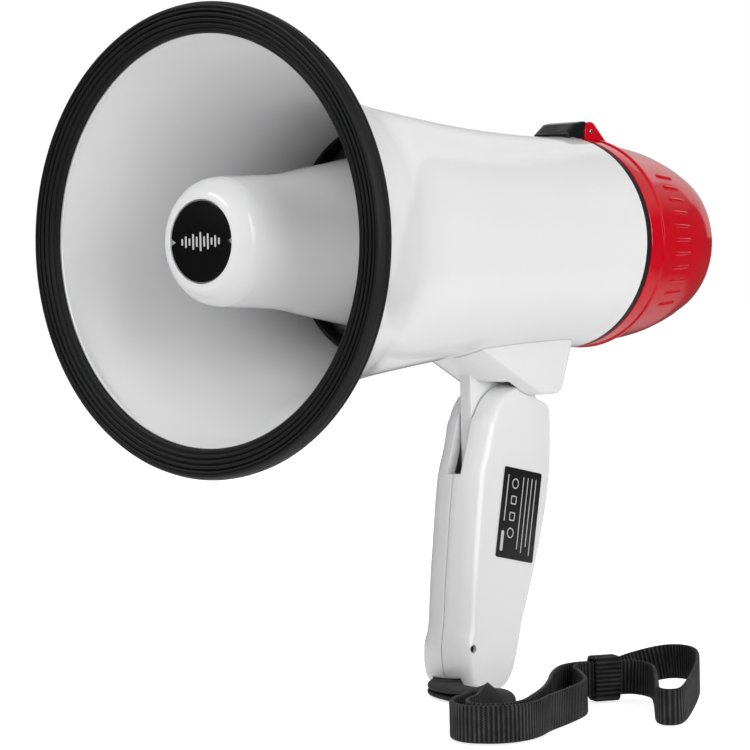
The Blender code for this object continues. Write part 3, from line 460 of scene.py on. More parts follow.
# ---- horn, rim and reflector
def make_horn():
    outer = curve(BODY_OUT, 4)
    inner = [(s, r - WALL) for s, r in outer if 10 <= s <= 90]
    lip = [(0.6, 75.3), (0.0, 74.7), (0.0, 68.0), (0.1, 67.45), (0.5, 67.2), (0.9, 67.25), (1.3, 67.7),
           (2.4, 69.3)]
    bulkhead_rib = [(97.6, 41.9), (97.6, 38.6), (99.4, 38.6), (99.4, 41.7)]
    carrier_rib = [(134.9, 38.7), (134.9, 35.2), (136.4, 35.2), (136.4, 38.6)]
    rear = [(140, 38.4), (170, 37.3), (193.9, 37.4), (194.2, 37.6), (194.2, 39.35), (193.85, 39.68)]
    loop = lip + inner + bulkhead_rib + [(115, 40.2)] + carrier_rib + rear
    loop += [p for p in reversed(outer) if p[0] < 193] + [(2.0, 75.3)]
    show(turned("horn_shell", loop, 192), "white", "horn", ["horn_body"])
    ledge = [(190.5, 38.6), (190.5, 40.5, 0.25), (192.0, 40.3, 0.25), (193.0, 38.6)]
    show(slab("catch_ledge", rounded(ledge), -5.5, 5.5, side_on, 0.2), "white_plastic", "horn")


def make_rim():
    loop = [(-0.3, 67.6, .1), (-0.3, 75.6), (2.3, 75.6), (2.3, 73.3), (3.3, 72.8, .4), (4.3, 73.7, .5),
            (4.1, 75.9, .8), (3.0, 77.3, .8), (1.9, 77.75, .3), (1.5, 77.3, .15), (1.1, 77.3, .15),
            (0.7, 77.9, .3), (-0.6, 77.95, .6), (-2.2, 77.5, 1.0), (-3.2, 76.9, .5), (-3.4, 76.1, .4),
            (-2.5, 75.75, .2), (-3.4, 75.4, .4), (-3.4, 74.9, .4), (-1.9, 74.5, .25), (-3.3, 74.1, .45),
            (-3.3, 73.2, .45), (-1.9, 72.8, .25), (-3.1, 72.35, .4), (-3.0, 71.45, .4), (-1.7, 71.0, .25),
            (-2.7, 70.6, .35), (-2.5, 69.7, .35), (-1.5, 69.35, .25), (-1.9, 68.9, .25), (-1.8, 68.2, .4),
            (-1.2, 67.6, .3)]
    show(turned("rim_rubber", rounded(loop, 5), 224), "black_rubber", "horn", ["rim_gasket"], sharp=50.0)


def make_bullet():
    nose = [(-0.6, 3.1), (-0.6, 13.7), (-1.9, 13.9, .2), (-1.9, 14.9, .5)]
    flank = [(-1.7, 15.4), (-1.2, 16.6), (0.6, 18.6), (3, 20.3), (6, 21.2), (10, 21.5), (35, 22.7),
             (51, 25.2), (71, 28.6), (86, 31.4)]
    smooth = curve(flank, 5)
    inner = [(86, 30.2), (71, 27.0), (51, 23.6), (35, 21.1), (10, 19.9), (4.5, 18.4), (1.8, 15.0),
             (1.8, 4.6), (23.7, 3.6), (23.7, 1.6), (1.3, 1.6), (1.3, 3.1)]
    show(turned("reflector_shell", rounded(nose) + smooth + inner, 144), "white", "horn",
         ["reflector_bullet"])


def make_badge():
    """Disc on the nose, a small V cut in at each side, with plain bars in place of a word."""
    segs, cut_deep, cut_half = 160, 1.9, 0.085
    outline = []
    for k in range(segs):
        a = 2 * pi * k / segs
        off = min(abs(atan2(sin(a - c), cos(a - c))) for c in (0.0, pi))
        r = BADGE_R - max(0.0, cut_deep * (1 - off / cut_half))
        outline.append(polar((0.0, 0.0), r, a))
    show(slab("badge_disc", outline, -1.8, -0.9, end_on, 0.18), "badge", "horn", ["nose_badge"])
    bars = bmesh.new()
    for k, half in enumerate((1.1, 1.9, 1.2, 2.6, 1.7, 3.1, 1.7, 2.6, 1.2, 1.9, 1.1)):
        add_slab(bars, block((k - 5) * 1.65, 0.0, 0.38, half, 0.3), -1.88, -1.7, end_on, 0.05, 2)
    show(as_object("badge_bars", bars), "mark", "horn")


def make_seals():
    loop = [(89.6, 41.0), (89.6, 42.45, .3), (93.6, 42.0), (93.6, 39.8, .5), (91.4, 40.2, .5)]
    show(turned("throat_ring", rounded(loop), 128), "seal", "horn", ["throat_gasket"])
    loop = [(194.6, 37.4), (194.6, 39.5, .3), (196.8, 39.5, .3), (196.8, 37.4)]
    show(turned("rear_seal", rounded(loop)), "seal", "horn", ["seam_seal"])


# ---- cap and latch
def make_cap():
    band = [(197.1, 39.3, .2), (197.6, 39.6, .3), (204.4, 39.42, .3), (204.7, 39.2, .2), (205.1, 39.85, .3),
            (206.2, 39.85, .3), (206.6, 39.1, .3)]
    taper = [(208.6, 38.8), (214.5, 37.95), (228.5, 36.1), (236, 34.5), (243, 32.6), (248.5, 30.7)]
    edge = rounded([(247, 32), (252.0, 29.4, 1.6), (253.0, 27.9, .8), (252.2, 26.9, .6), (245, 26)])[1:-1]
    dish = [(249.5, 26.3), (240.2, 25.4), (240.2, 22.5), (238.4, 22.5), (238.4, 31.0)]
    inner = [(229, 33.6), (214.5, 35.5), (199.2, 36.4)]
    spigot = [(199.2, 34.9), (187.0, 34.9), (187.0, 36.9), (197.1, 36.9)]
    loop = rounded(band) + curve(taper, 4) + edge + dish + inner + spigot
    show(turned("cap_shell", loop, 176), "red_plastic", "rear_cap", ["rear_cap"])


def make_grips():
    """Finger ribs on both sides of the cap."""
    bm = bmesh.new()
    for turn in (0.0, 180.0):
        for k in range(11):
            add_grip(bm, radians(turn + (k - 5) * 8.0))
    show(as_object("cap_grips", bm), "red_plastic", "rear_cap", sharp=60.0)


def make_ears():
    ear = [(199.6, 36.9), (199.6, 41.6)] + arc(LATCH_PIN, 3.7, 165, 48, 16) + [(214.6, 36.7), (206.0, 36.9)]
    for name, x0, x1 in (("latch_ear_left", 6.3, 8.3), ("latch_ear_right", -8.3, -6.3)):
        ob = slab(name, ear, x0, x1, side_on, 0.35)
        combine(ob, slab("bore", ring(LATCH_PIN, 1.05, 28), x0 - 1, x1 + 1, side_on))
        show(ob, "red_plastic", "rear_cap")


def make_rivet():
    pin = bmesh.new()
    add_slab(pin, ring(LATCH_PIN, 0.75, 32), -8.2, 8.2, side_on, 0.1)
    for x0, x1 in ((8.05, 8.6), (-8.6, -8.05)):
        add_slab(pin, ring(LATCH_PIN, 0.98, 32), x0, x1, side_on, 0.24, 4)
    show(as_object("latch_rivet", pin), "bright_pin", "rear_cap", ["latch_pin"])


def add_grip(bm, a):
    """One finger rib: a long low bar, rounded over and run out at both ends."""
    steps, first, long = 12, 215.6, 11.8
    rows = []
    for i in range(steps + 1):
        t = i / steps
        s = first + long * t
        r = float(np.interp(s, *TAPER))
        rise = 0.75 * min(1.0, sin(pi * min(max(t, 0.004), 0.996)) * 2.6) ** 0.7
        row = [(-0.030, -0.9), (-0.026, -0.02)]
        row += [(0.021 * cos(pi * (1 - k / 6)), rise * sin(pi * k / 6)) for k in range(7)]
        row += [(0.026, -0.02), (0.030, -0.9)]
        rows.append([end_on(*polar((0.0, 0.0), r + dr, a + da), s) for da, dr in row])
    loft(bm, rows)


def make_latch():
    top = [(189.0, 39.0), (189.0, 40.7, .3), (194.8, 44.7, 2.0), (198.4, 45.4, 3.0), (201.0, 45.4, .6),
           (199.25, 41.6), (199.25, 39.0)]
    ob = slab("latch_cover", rounded(top, 6), -8.0, 8.0, side_on, 0.45, 4)
    tail = [(198.0, 40.0), (198.0, 45.3), (201.2, 45.3, .8), (203.9, 43.2, .8), (205.1, 41.6, .6),
            (204.0, 40.1, .6)]
    combine(ob, slab("tail", rounded(tail), -6.0, 6.0, side_on, 0.25), "UNION")
    under = [(180, 0.0), (180, 39.86), (199.6, 39.86), (199.6, 39.95), (215, 39.95), (215, 0.0)]
    combine(ob, turned("under", under, 192))
    hook = [(190.0, 38.0), (190.0, 40.9), (193.6, 41.3), (193.6, 38.0)]
    combine(ob, slab("hook", hook, -6.2, 6.2, side_on))
    combine(ob, slab("bore", ring(LATCH_PIN, 1.0, 28), -12, 12, side_on))
    show(ob, "black_gloss", "latch", ["latch_lever"], sharp=30.0)
    ribs = bmesh.new()
    for k in range(4):
        s = 190.6 + 1.15 * k
        slope = 40.7 + (s - 189.0) * 4.0 / 5.8
        add_slab(ribs, ring((s, slope - 0.12), 0.26, 14), -6.4, 6.4, side_on, 0.14, 2)
    show(as_object("latch_grips", ribs), "black_gloss", "latch", sharp=60.0)


# ---- mouthpiece and controls
def make_panel():
    """Panel at the back of the cap, open for the button, the knob's shaft and the switch."""
    loop = [(240.5, 9.4), (240.5, 25.0, .1), (242.3, 25.0, .3), (242.3, 11.2, .2), (243.4, 10.5, .3),
            (243.4, 9.4, .2)]
    panel = turned("mouth_panel", rounded(loop), 128)
    tools = bmesh.new()
    for outline in (ring(TALK_AT, 4.6, 48), ring(KNOB_AT, 2.0, 28), block(0.0, MODE_AT[1], 6.0, 2.0, 0.6)):
        add_slab(tools, outline, *PANEL_CUT, end_on)
    combine(panel, as_object("holes", tools))
    show(panel, "black_plastic", "rear_cap", ["mouthpiece_panel"])


def make_dial():
    """Dots that grow round the knob, and one at each end of the switch's slot."""
    marks = bmesh.new()
    for k in range(9):
        at = polar(KNOB_AT, DIAL_R, radians(-135 + 270 * k / 8))
        add_slab(marks, ring(at, 0.28 + 0.045 * k, 16), *DIAL_S, end_on, 0.05, 2)
    for x in (-7.6, 7.6):
        add_slab(marks, ring((x, MODE_AT[1]), 0.6, 20), *DIAL_S, end_on, 0.05, 2)
    show(as_object("dial_marks", marks), "mark", "rear_cap")


def make_grille():
    """Domed mesh over the microphone, with rings of holes."""
    dome = [(240.9, 0.0), (240.9, 9.1, .1), (242.8, 9.1, .3), (243.3, 7.8), (243.9, 5.6), (244.2, 2.8),
            (244.3, 0.0)]
    mesh = turned("mic_mesh", rounded(dome), 72)
    holes = bmesh.new()
    for r, n in ((0.0, 1), (1.9, 6), (3.8, 12), (5.7, 18), (7.5, 24)):
        for k in range(n):
            at = polar((0.0, 0.0), r, 2 * pi * k / n)
            add_slab(holes, ring(at, 0.62, 10), 239.0, 246.0, end_on)
    combine(mesh, as_object("holes", holes))
    show(mesh, "steel", "rear_cap", ["mic_grille"])


def pointer(half, first, last, r):
    """Bar on the knob that points at the last dot of the dial."""
    c = sqrt(0.5)
    return rounded([(KNOB_AT[0] + c * (u - v), KNOB_AT[1] + c * (u + v), r)
                    for u, v in ((-half, first), (half, first), (half, last), (-half, last))])


def make_knob():
    """Fluted knob with a pale line set into its face."""
    flutes, crest, root = 36, 5.2, 4.85
    outline = [polar(KNOB_AT, crest if k % 2 else root, pi * k / flutes) for k in range(2 * flutes)]
    knob = slab("dial_knob", outline, 242.9, 247.2, end_on, 0.5)
    combine(knob, slab("mark", pointer(0.45, 1.0, 4.0, 0.3), 246.6, 248, end_on))
    combine(knob, slab("shaft", ring(KNOB_AT, 1.5, 24), 234.2, 243.2, end_on), "UNION")
    show(knob, "black_plastic", "volume", ["volume_knob"])
    line = slab("dial_line", pointer(0.35, 1.1, 3.9, 0.25), 246.5, 246.9, end_on)
    show(line, "border", "volume")


def make_talk_button():
    loop = [(237.9, 0.0), (237.9, 2.2), (239.0, 2.2), (239.0, 5.3, .2), (240.1, 5.3, .2), (240.1, 4.25),
            (245.5, 4.25, .5), (245.8, 3.2, .4), (245.2, 1.8), (245.0, 0.0)]
    show(turned("talk_cap", rounded(loop), 64, TALK_AT), "grey_plastic", "talk", ["talk_button"])


def make_mode_switch():
    """Ribbed slider with a stem through the panel's slot."""
    x, z = MODE_AT
    bm = bmesh.new()
    add_slab(bm, block(x, z, 2.4, 2.6, 0.6), 242.9, 244.5, end_on, 0.3)
    for k in range(5):
        add_slab(bm, block(x - 1.8 + 0.9 * k, z, 0.25, 2.2, 0.15), 244.2, 245.0, end_on, 0.15, 2)
    add_box(bm, x - 1.4, x + 1.4, 237.4, 243.2, z - 1.4, z + 1.4)
    show(as_object("mode_slider", bm), "grey_plastic", "mode", ["mode_switch"])


# ---- bracket and handle
def bow_outline(z, inward):
    """Plan outline of the bracket at height z, pointed at the front and moved in all round."""
    half = BRACKET_HALF - inward
    xs = [-half] + list(np.linspace(-11.2, 11.2, 23)) + [half]
    sides = 126.0 + 2.0 * (-38.5 - z)
    front = [(x, sides - 11.0 * (1.0 - (abs(x) / BRACKET_HALF) ** 2) + inward) for x in xs]
    rear = 172.6 + (z - BRACKET_FOOT) * 10.8 / 26.0 - inward
    line = [(*front[0], 3.2)] + front[1:-1] + [(*front[-1], 3.2), (half, rear, 2.2), (-half, rear, 2.2)]
    return [place(x, s, z) for x, s in rounded(line, 6)]


def make_bracket():
    levels = [(z, 0.0) for z in (-30.0, -34.0, -37.0, -40.0, -43.0, -46.0, -49.0, -52.0, -53.6)]
    edge_r, steps = 1.8, 6
    for k in range(steps + 1):
        a = pi / 2 * k / steps
        levels.append((BRACKET_FOOT + edge_r * (1 - sin(a)), edge_r * (1 - cos(a))))
    bm = bmesh.new()
    loft(bm, [bow_outline(z, d) for z, d in levels])
    ob = as_object("bracket_body", bm)
    barrel = [(s, r + 0.05) for s, r in smooth_run(BODY_OUT, 4) if 88 < s < 194]
    core = [(88.0, 0.0), (88.0, barrel[0][1])] + barrel + [(barrel[-1][0], 0.0)]
    combine(ob, turned("barrel", core, 192))
    reach = [(50, 19.5), (60, 19.55), (70, 19.6), (80, 20.0), (90, 20.5), (100, 20.9), (110, 21.6),
             (120, 23.6), (130, 26.6), (140, 30.0)]
    dome = curve([polar(PIVOT, r, radians(a)) for a, r in reach], 4)
    pocket = [(190.0, -57.6), (168.0, -57.6)] + dome + [(120.0, -52.0), (120.0, -75.0), (190.0, -75.0)]
    combine(ob, slab("pocket", pocket, -HALF_W - 0.4, HALF_W + 0.4, side_on))
    leaf = [(134.5, -45.0), (134.5, -81.6, 2.0), (136.4, -84.2, 2.0), (140.0, -85.6, 3.0),
            (152.0, -84.0, 9.0), (159.0, -79.5, 7.0), (162.6, -72.0, 8.0), (163.4, -62.0, 6.0),
            (163.4, -50.0)]
    combine(ob, slab("leaf", rounded(leaf, 6), -2.5, 2.5, side_on, 0.35), "UNION")
    combine(ob, slab("boss", ring(PIVOT, 5.4, 48), -2.9, 2.9, side_on), "UNION")
    combine(ob, slab("bore", ring(PIVOT, PIVOT_BORE, 40), -6, 6, side_on))
    tools = bmesh.new()
    for s in (144.0, 176.0):
        add_slab(tools, ring((0.0, s), 1.6, 16), -49.0, -34.0, place)
    combine(ob, as_object("threads", tools))
    show(ob, "white_plastic", "horn", ["bracket"], sharp=28.0)


# side view of the grip: down its front, round the foot and up its back
GRIP_EDGE = [(133.4, -64.0), (131.6, -69.0), (129.6, -75.0), (126.4, -83.4), (124.4, -95.0), (122.6, -108.0),
             (120.8, -121.0), (119.4, -135.0), (118.2, -141.5), (117.8, -147.5), (118.6, -153.5),
             (121.2, -158.4), (125.4, -161.2), (130.0, FOOT), (137.5, FOOT), (142.6, -159.6), (146.6, -154.2),
             (151.4, -141.0), (156.6, -129.0), (161.4, -117.0), (165.4, -106.0), (168.6, -95.0),
             (170.6, -85.0), (171.4, -77.0)]


def handle_outline():
    dome = arc(PIVOT, 19.0, 56.7, 150, 27)
    run = [(s, max(z, FOOT)) for s, z in smooth_run([dome[-1]] + GRIP_EDGE, 4)[1:]]
    shoulder = [(171.5, -70.0), (171.5, -64.0), (171.2, -61.2), (170.3, -59.4), (169.0, -58.6)]
    return [(163.4, -56.6)] + dome + run + shoulder


def clamp(value):
    return min(1.0, max(0.0, value))


def chin(z):
    """How much of the edge rounding is left at height z: the chin round the strap bar is fuller."""
    t = clamp((-138.5 - z) / 6.5)
    return 1.0 - 0.36 * t * t * (3.0 - 2.0 * t)


def shrink(outline, d, least=0.22):
    """Move the outline in toward the handle's spine, most along its front edge."""
    top, foot = np.array((151.0, -76.0)), np.array((131.5, -145.0))
    spine = foot - top
    out = []
    for p in np.array(outline, float):
        t = clamp(float((p - top) @ spine) / float(spine @ spine))
        way = top + spine * t - p
        way /= norm(way)
        out.append(tuple(p + way * d * chin(p[1]) * (least + (1.0 - least) * max(0.0, float(way[0])))))
    return out


def add_round(bm, centre, r, x0, x1, n=28):
    """Round bar across the grip between x0 and x1, in either order."""
    add_slab(bm, ring(centre, r, n), min(x0, x1), max(x0, x1), side_on)


def make_handle_half(side):
    """Half of the grip: side is 1 for the left, -1 for the right."""
    name = "left" if side > 0 else "right"
    outline = handle_outline()
    rows = [(0.12, 0.22), (0.2, 0.06), (0.4, 0.0)]
    edge_r, steps = 6.8, 22
    for k in range(1, steps + 1):
        a = pi / 2 * k / steps
        rows.append((0.4 + (HALF_W - 0.4) * sin(a), edge_r * (1 - cos(a))))
    bm = bmesh.new()
    loft(bm, [[place(side * x, s, z) for s, z in shrink(outline, d)] for x, d in rows])
    ob = as_object("grip_" + name, bm)
    far = sorted((-1.0 * side, (HALF_W - 2.3) * side))
    combine(ob, slab("hollow", shrink(outline, 5.2, 0.55), *far, side_on))
    bosses = bmesh.new()
    add_round(bosses, PIVOT, 6.2, side * 3.3, side * (HALF_W - 1.6), 40)
    for at in HANDLE_SCREWS:
        add_round(bosses, at, 3.8, side * 0.15, side * (HALF_W - 1.6))
    add_round(bosses, STRAP_PIN, 2.3, side * 6.6, side * (HALF_W - 2.7))
    combine(ob, as_object("bosses", bosses), "UNION")
    cut = [PIVOT, (180.0, -43.0), (110.0, -43.0), (110.0, -83.4), (133.4, -83.4)]
    cut += arc(PIVOT, 22.4, 216, 285, 16)
    combine(ob, slab("slot", cut, -3.3, 3.3, side_on))
    bores = bmesh.new()
    add_round(bores, PIVOT, PIVOT_BORE, side * 1.0, side * (HALF_W - 2.4), 40)
    screw_reach = (-1.0, 7.8) if side > 0 else (1.0, -12.0)
    for at in HANDLE_SCREWS:
        add_round(bores, at, 1.5, *screw_reach, 32)
    add_round(bores, STRAP_PIN, 1.5, side * -1.0, side * 12.0, 32)
    combine(ob, as_object("bores", bores))
    if side < 0:
        for at in HANDLE_SCREWS:
            combine(ob, slab("well", ring(at, 3.0, 36), -12.0, -8.6, side_on))
    leave = [(110.0, -163.5), (110.0, -157.4), (119.0, -156.9), (123.6, -153.4), (126.6, -152.4),
             (130.0, -154.4, 1.0), (131.4, -158.0, 1.0), (131.4, -163.5)]
    combine(ob, slab("exit", rounded(leave), -6.5, 6.5, side_on))
    show(ob, "white_plastic", "handle", ["handle_" + name], sharp=28.0)


def make_strap_bar():
    # The pin is a real part, but it reaches out to 1 mm inside the grip's sides so that its dark ends fill
    # the holes as painted shade.
    show(slab("strap_bar", ring(STRAP_PIN, 1.3, 24), -10.0, 10.0, side_on, 0.2, 2), "dark_steel", "handle",
         ["strap_pin"])


def make_handle_screws():
    """Cross-headed screws, sunk in the right half."""
    half, wide = 1.7, 0.32
    for k, at in enumerate(HANDLE_SCREWS, 1):
        bm = bmesh.new()
        add_slab(bm, ring(at, 2.7, 40), -10.4, -8.9, side_on, 0.55, 4)
        ob = as_object(f"grip_screw_{k}", bm)
        for turn in (35.0 * k - 15.0, 35.0 * k + 75.0):
            c, s = cos(radians(turn)), sin(radians(turn))
            bar = [(at[0] + c * u - s * v, at[1] + s * u + c * v)
                   for u, v in ((-half, -wide), (half, -wide), (half, wide), (-half, wide))]
            combine(ob, slab("recess", bar, -11.0, -9.5, side_on))
        combine(ob, slab("shank", ring(at, 1.2, 20), -9.2, 7.2, side_on, 0.4), "UNION")
        show(ob, "steel", "handle", [f"handle_screw_{k}"])


def make_label():
    """Film label with a pale border; plain rules and outlines stand in for its print."""
    corners = [(142.3, -80.6), (164.9, -85.0), (157.9, -118.1), (135.3, -113.6)]
    low, high = 11.25, 11.32
    first = Vector(corners[0])
    u = (Vector(corners[3]) - first).normalized()
    v = (Vector(corners[1]) - first).normalized()

    def inner(d, r):
        return rounded([(*p, r) for p in inset(corners, d)], 5)
    show(slab("label_border", inner(0.0, 1.2), 11.02, 11.24, side_on, 0.08, 2), "border", "handle")
    show(slab("label_face", inner(0.35, 0.9), 11.1, 11.30, side_on, 0.05, 2), "label", "handle",
         ["rating_label"])
    rules = bmesh.new()
    for across, start_at, end_at, half in ((3.2, 3.0, 20.0, 0.26), (3.2, 23.5, 31.0, 0.8),
                                           (12.2, 3.0, 29.5, 0.22), (14.8, 3.0, 30.5, 0.22),
                                           (17.2, 3.0, 28.0, 0.22), (19.6, 3.0, 31.0, 0.22)):
        ends = [first + u * t + v * (across + w)
                for t, w in ((start_at, -half), (end_at, -half), (end_at, half), (start_at, half))]
        add_slab(rules, rounded([(p.x, p.y, half * 0.8) for p in ends], 3), low, high, side_on)
    for t, half, soft in ((6.0, 1.9, 0.98), (12.0, 1.6, 0.35), (18.0, 1.6, 0.35), (24.0, 1.9, 0.98)):
        p = first + u * t + v * 7.6
        ends = [p + u * a * half + v * b * half for a, b in ((-1, -1), (1, -1), (1, 1), (-1, 1))]
        rim = rounded([(q.x, q.y, half * soft) for q in ends], 6)
        hole = inset(rim, 0.42)
        rows = ((rim, low), (rim, high), (hole, high), (hole, low))
        loft(rules, [[side_on(*q, x) for q in row] for row, x in rows], True)
    show(as_object("label_rules", rules), "mark", "handle")


# ---- wrist strap
# centre line of the doubled strap: x, s, height above the ground, the side on which the outer strand
# lies, and half the distance between the strands
STRAP_RUN = [
    ((0.0, 127.4, 15.5), (0, 1, 0), 2.4), ((0.0, 127.2, 10.5), (0, 1, 0), 2.4),
    ((0.0, 124.6, 5.6), (0.0, 0.7, -0.7), 1.5), ((1.0, 118.2, 3.2), (0, 0, -1), 1.1),
    ((7.6, 111.2, 2.9), (0, 0, -1), 1.1), ((22.0, 104.2, 3.1), (0, 0, -1), 1.4),
    ((38.5, 95.5, 4.4), (-0.05, -0.06, -0.99), 2.4), ((51.0, 84.0, 6.0), (-0.26, -0.24, -0.93), 2.5),
    ((58.5, 73.0, 7.2), (-0.62, -0.36, -0.70), 2.5), ((62.8, 61.5, 7.4), (-0.88, -0.34, -0.33), 2.5),
    ((65.6, 52.0, 6.8), (-0.98, -0.18, 0), 2.5), ((68.2, 43.6, 6.7), (-0.92, -0.38, 0), 2.5),
    ((73.8, 36.4, 6.7), (-0.66, -0.75, 0), 2.5), ((81.2, 33.0, 6.7), (-0.14, -0.99, 0), 2.5),
    ((88.6, 36.2, 6.7), (0.68, -0.73, 0), 2.5), ((91.4, 43.5, 6.7), (0.99, -0.10, 0), 2.5),
    ((90.2, 52.5, 6.7), (0.98, 0.18, 0), 2.5), ((85.5, 64.0, 6.7), (0.95, 0.30, 0), 2.8),
    ((79.5, 80.0, 6.8), (0.94, 0.33, 0), 4.4), ((72.0, 96.0, 7.0), (0.89, 0.46, 0), 6.0),
    ((62.5, 108.5, 7.5), (0.86, 0.51, 0), 4.8), ((55.8, 118.0, 8.1), (0.95, 0.32, 0), 2.6),
    ((55.2, 125.0, 8.4), (0.94, -0.34, 0), 1.5), ((58.2, 130.8, 8.4), (0.86, -0.51, 0), 1.5),
    ((61.6, 136.6, 8.4), (0.86, -0.51, 0), 1.5)]
KEEPER_INDEX = (23, 24)
SEAMS = [(46.0, 57.0), (92.0, 103.0)]
STRAP_LOOP = [
    (67.0, 141.8, 8.2), (75.5, 140.0, 7.7), (85.0, 129.0, 7.2), (97.0, 112.5, 6.7), (107.5, 98.5, 6.6),
    (113.3, 96.0, 6.6), (114.6, 101.5, 6.8), (109.0, 115.0, 8.6), (99.0, 134.0, 11.5),
    (87.0, 149.0, 13.2), (73.5, 154.0, 12.8), (64.3, 148.0, 10.6)]


def on_ground(p):
    return place(p[0], p[1], p[2] + FOOT)


def unit_rows(a):
    return a / norm(a, axis=1)[:, None]


def reached(line):
    """Length along the line at each of its points."""
    return np.concatenate([[0.0], np.cumsum(norm(np.diff(line, axis=0), axis=1))])


def strap_line(per):
    """Centre line and width directions of the strap: out on one strand, round the loop and back."""
    run = smooth_run([(*c, *n, h) for c, n, h in STRAP_RUN], per)
    centre, side, half = run[:, :3], run[:, 3:6], run[:, 6]
    tangent = unit_rows(np.gradient(centre, axis=0))
    side = unit_rows(side - tangent * np.sum(side * tangent, axis=1)[:, None])
    width = np.cross(tangent, side)
    outer, back = centre + side * half[:, None], centre - side * half[:, None]
    loop = smooth_run([tuple(outer[-1])] + STRAP_LOOP + [tuple(back[-1])], per)[1:-1]
    flat = np.tile(width[-1], (len(loop), 1))
    return np.vstack([outer, loop, back[::-1]]), np.vstack([width, flat, width[::-1]])


def resample(line, across, step):
    """Even stations along the line with their width and thickness directions."""
    at = reached(line)
    n = int(round(at[-1] / step))
    want = np.linspace(0.0, at[-1], n + 1)
    pts = np.stack([np.interp(want, at, line[:, i]) for i in range(3)], 1)
    wide = np.stack([np.interp(want, at, across[:, i]) for i in range(3)], 1)
    tangent = unit_rows(np.gradient(pts, axis=0))
    wide = unit_rows(wide - tangent * np.sum(wide * tangent, axis=1)[:, None])
    return pts, wide, np.cross(tangent, wide), want


# section of the webbing, in halves of its width and thickness
FACE = [(-1, -.35), (-.965, -.8), (-.90, -1), (-.5, -1), (0, -1), (.5, -1), (.90, -1), (.965, -.8), (1, -.35)]
SECTION = FACE + [(-a, -b) for a, b in FACE]


def ribbed(name, pts, wide, thick, want, width=STRAP_W, depth=STRAP_T, groove=0.34, closed=False):
    """Webbing swept along stations, with a raised weft rib every RIB_PITCH of its length."""
    rows, weave = [], []
    for p, w, n, s in zip(pts, wide, thick, want):
        phase = (s / RIB_PITCH) % 1.0
        full = 1.0 - groove * max(0.0, cos(2 * pi * phase)) ** 1.5
        edge = (1 + full) / 2
        rows.append([on_ground(p + w * width / 2 * a + n * depth / 2 * b * (full if abs(a) < 0.93 else edge))
                     for a, b in SECTION])
        weave += [(width / 2 * a, s, 0.0) for a, b in SECTION]
    bm = bmesh.new()
    loft(bm, rows, closed)
    ob = as_object(name, bm)
    data = ob.data.attributes.new("weave", "FLOAT_VECTOR", "POINT")
    data.data.foreach_set("vector", np.array(weave, np.float32).ravel())
    return ob


def make_keeper():
    """Loop of webbing round both strands, its ribs lying along them."""
    a, b = (np.array(STRAP_RUN[i][0]) for i in KEEPER_INDEX)
    along = (b - a) / norm(b - a)
    up = np.array((0.0, 0.0, 1.0))
    out = np.cross(along, up)
    mid = (a + b) / 2
    loop = block(0.0, 0.0, 3.62, 7.22, 1.5, 8)
    line = np.array(loop + loop[:1])
    at = reached(line)
    n = RIB_STEPS * int(round(at[-1] / RIB_PITCH))
    want = np.linspace(0.0, at[-1], n + 1)[:-1]
    flat = np.stack([np.interp(want, at, line[:, i]) for i in range(2)], 1)
    tangent = unit_rows(np.roll(flat, -1, 0) - np.roll(flat, 1, 0))
    pts = mid + flat[:, :1] * out + flat[:, 1:] * up
    normal = tangent[:, 1:] * out - tangent[:, :1] * up
    even = want * RIB_PITCH * n / RIB_STEPS / at[-1]
    return ribbed("strap_sleeve", pts, np.tile(along, (n, 1)), normal, even, 9.2, 1.3, 0.42, True)


def add_stitch(bm, first, mid, last, up):
    """One thread lying on the webbing, thickest in the middle and sunk in at both ends."""
    along = (last - first) / norm(last - first)
    across = np.cross(along, up)
    rows = []
    for at, size, rise in ((first, 0.10, -0.12), (first + (mid - first) * 0.4, 0.21, 0.06), (mid, 0.24, 0.12),
                           (mid + (last - mid) * 0.6, 0.21, 0.06), (last, 0.10, -0.12)):
        rows.append([on_ground(at + up * rise + (across * cos(q) + up * sin(q)) * size)
                     for q in (pi * j / 4 for j in range(8))])
    loft(bm, rows)


def stitches(pts, wide, thick, want):
    """Box-and-cross seams on the webbing's two faces."""
    half, pitch = 4.2, 1.7
    bm = bmesh.new()

    def on_face(s, a, lift):
        at = [np.array([np.interp(s, want, rows[:, i]) for i in range(3)]) for rows in (pts, wide, thick)]
        return at[0] + at[1] * a + at[2] * lift
    for begin, end in SEAMS:
        box = [(begin, -half), (end, -half), (begin, half), (end, half)]
        for i, j in ((0, 1), (2, 3), (0, 2), (1, 3), (0, 3), (2, 1)):
            (s0, a0), (s1, a1) = box[i], box[j]
            n = max(2, int(hypot(s1 - s0, a1 - a0) / pitch))
            for k in range(n):
                for face in (-1.0, 1.0):
                    points = [on_face(s0 + (s1 - s0) * (k + e) / n, a0 + (a1 - a0) * (k + e) / n, face * 0.80)
                              for e in (0.14, 0.5, 0.86)]
                    up = on_face(s0, 0.0, face) - on_face(s0, 0.0, 0.0)
                    add_stitch(bm, *points, up / norm(up))
    return as_object("strap_stitches", bm)


def make_strap():
    line, across = strap_line(12)
    pts, wide, thick, want = resample(line, across, RIB_PITCH / RIB_STEPS)
    strap = show(ribbed("wrist_strap", pts, wide, thick, want), "webbing", "handle",
                 ["strap_webbing"], sharp=60.0)
    sleeve = show(make_keeper(), "webbing", "handle", ["strap_keeper"], sharp=60.0)
    seams = show(stitches(pts, wide, thick, want), "thread", "handle", sharp=60.0)


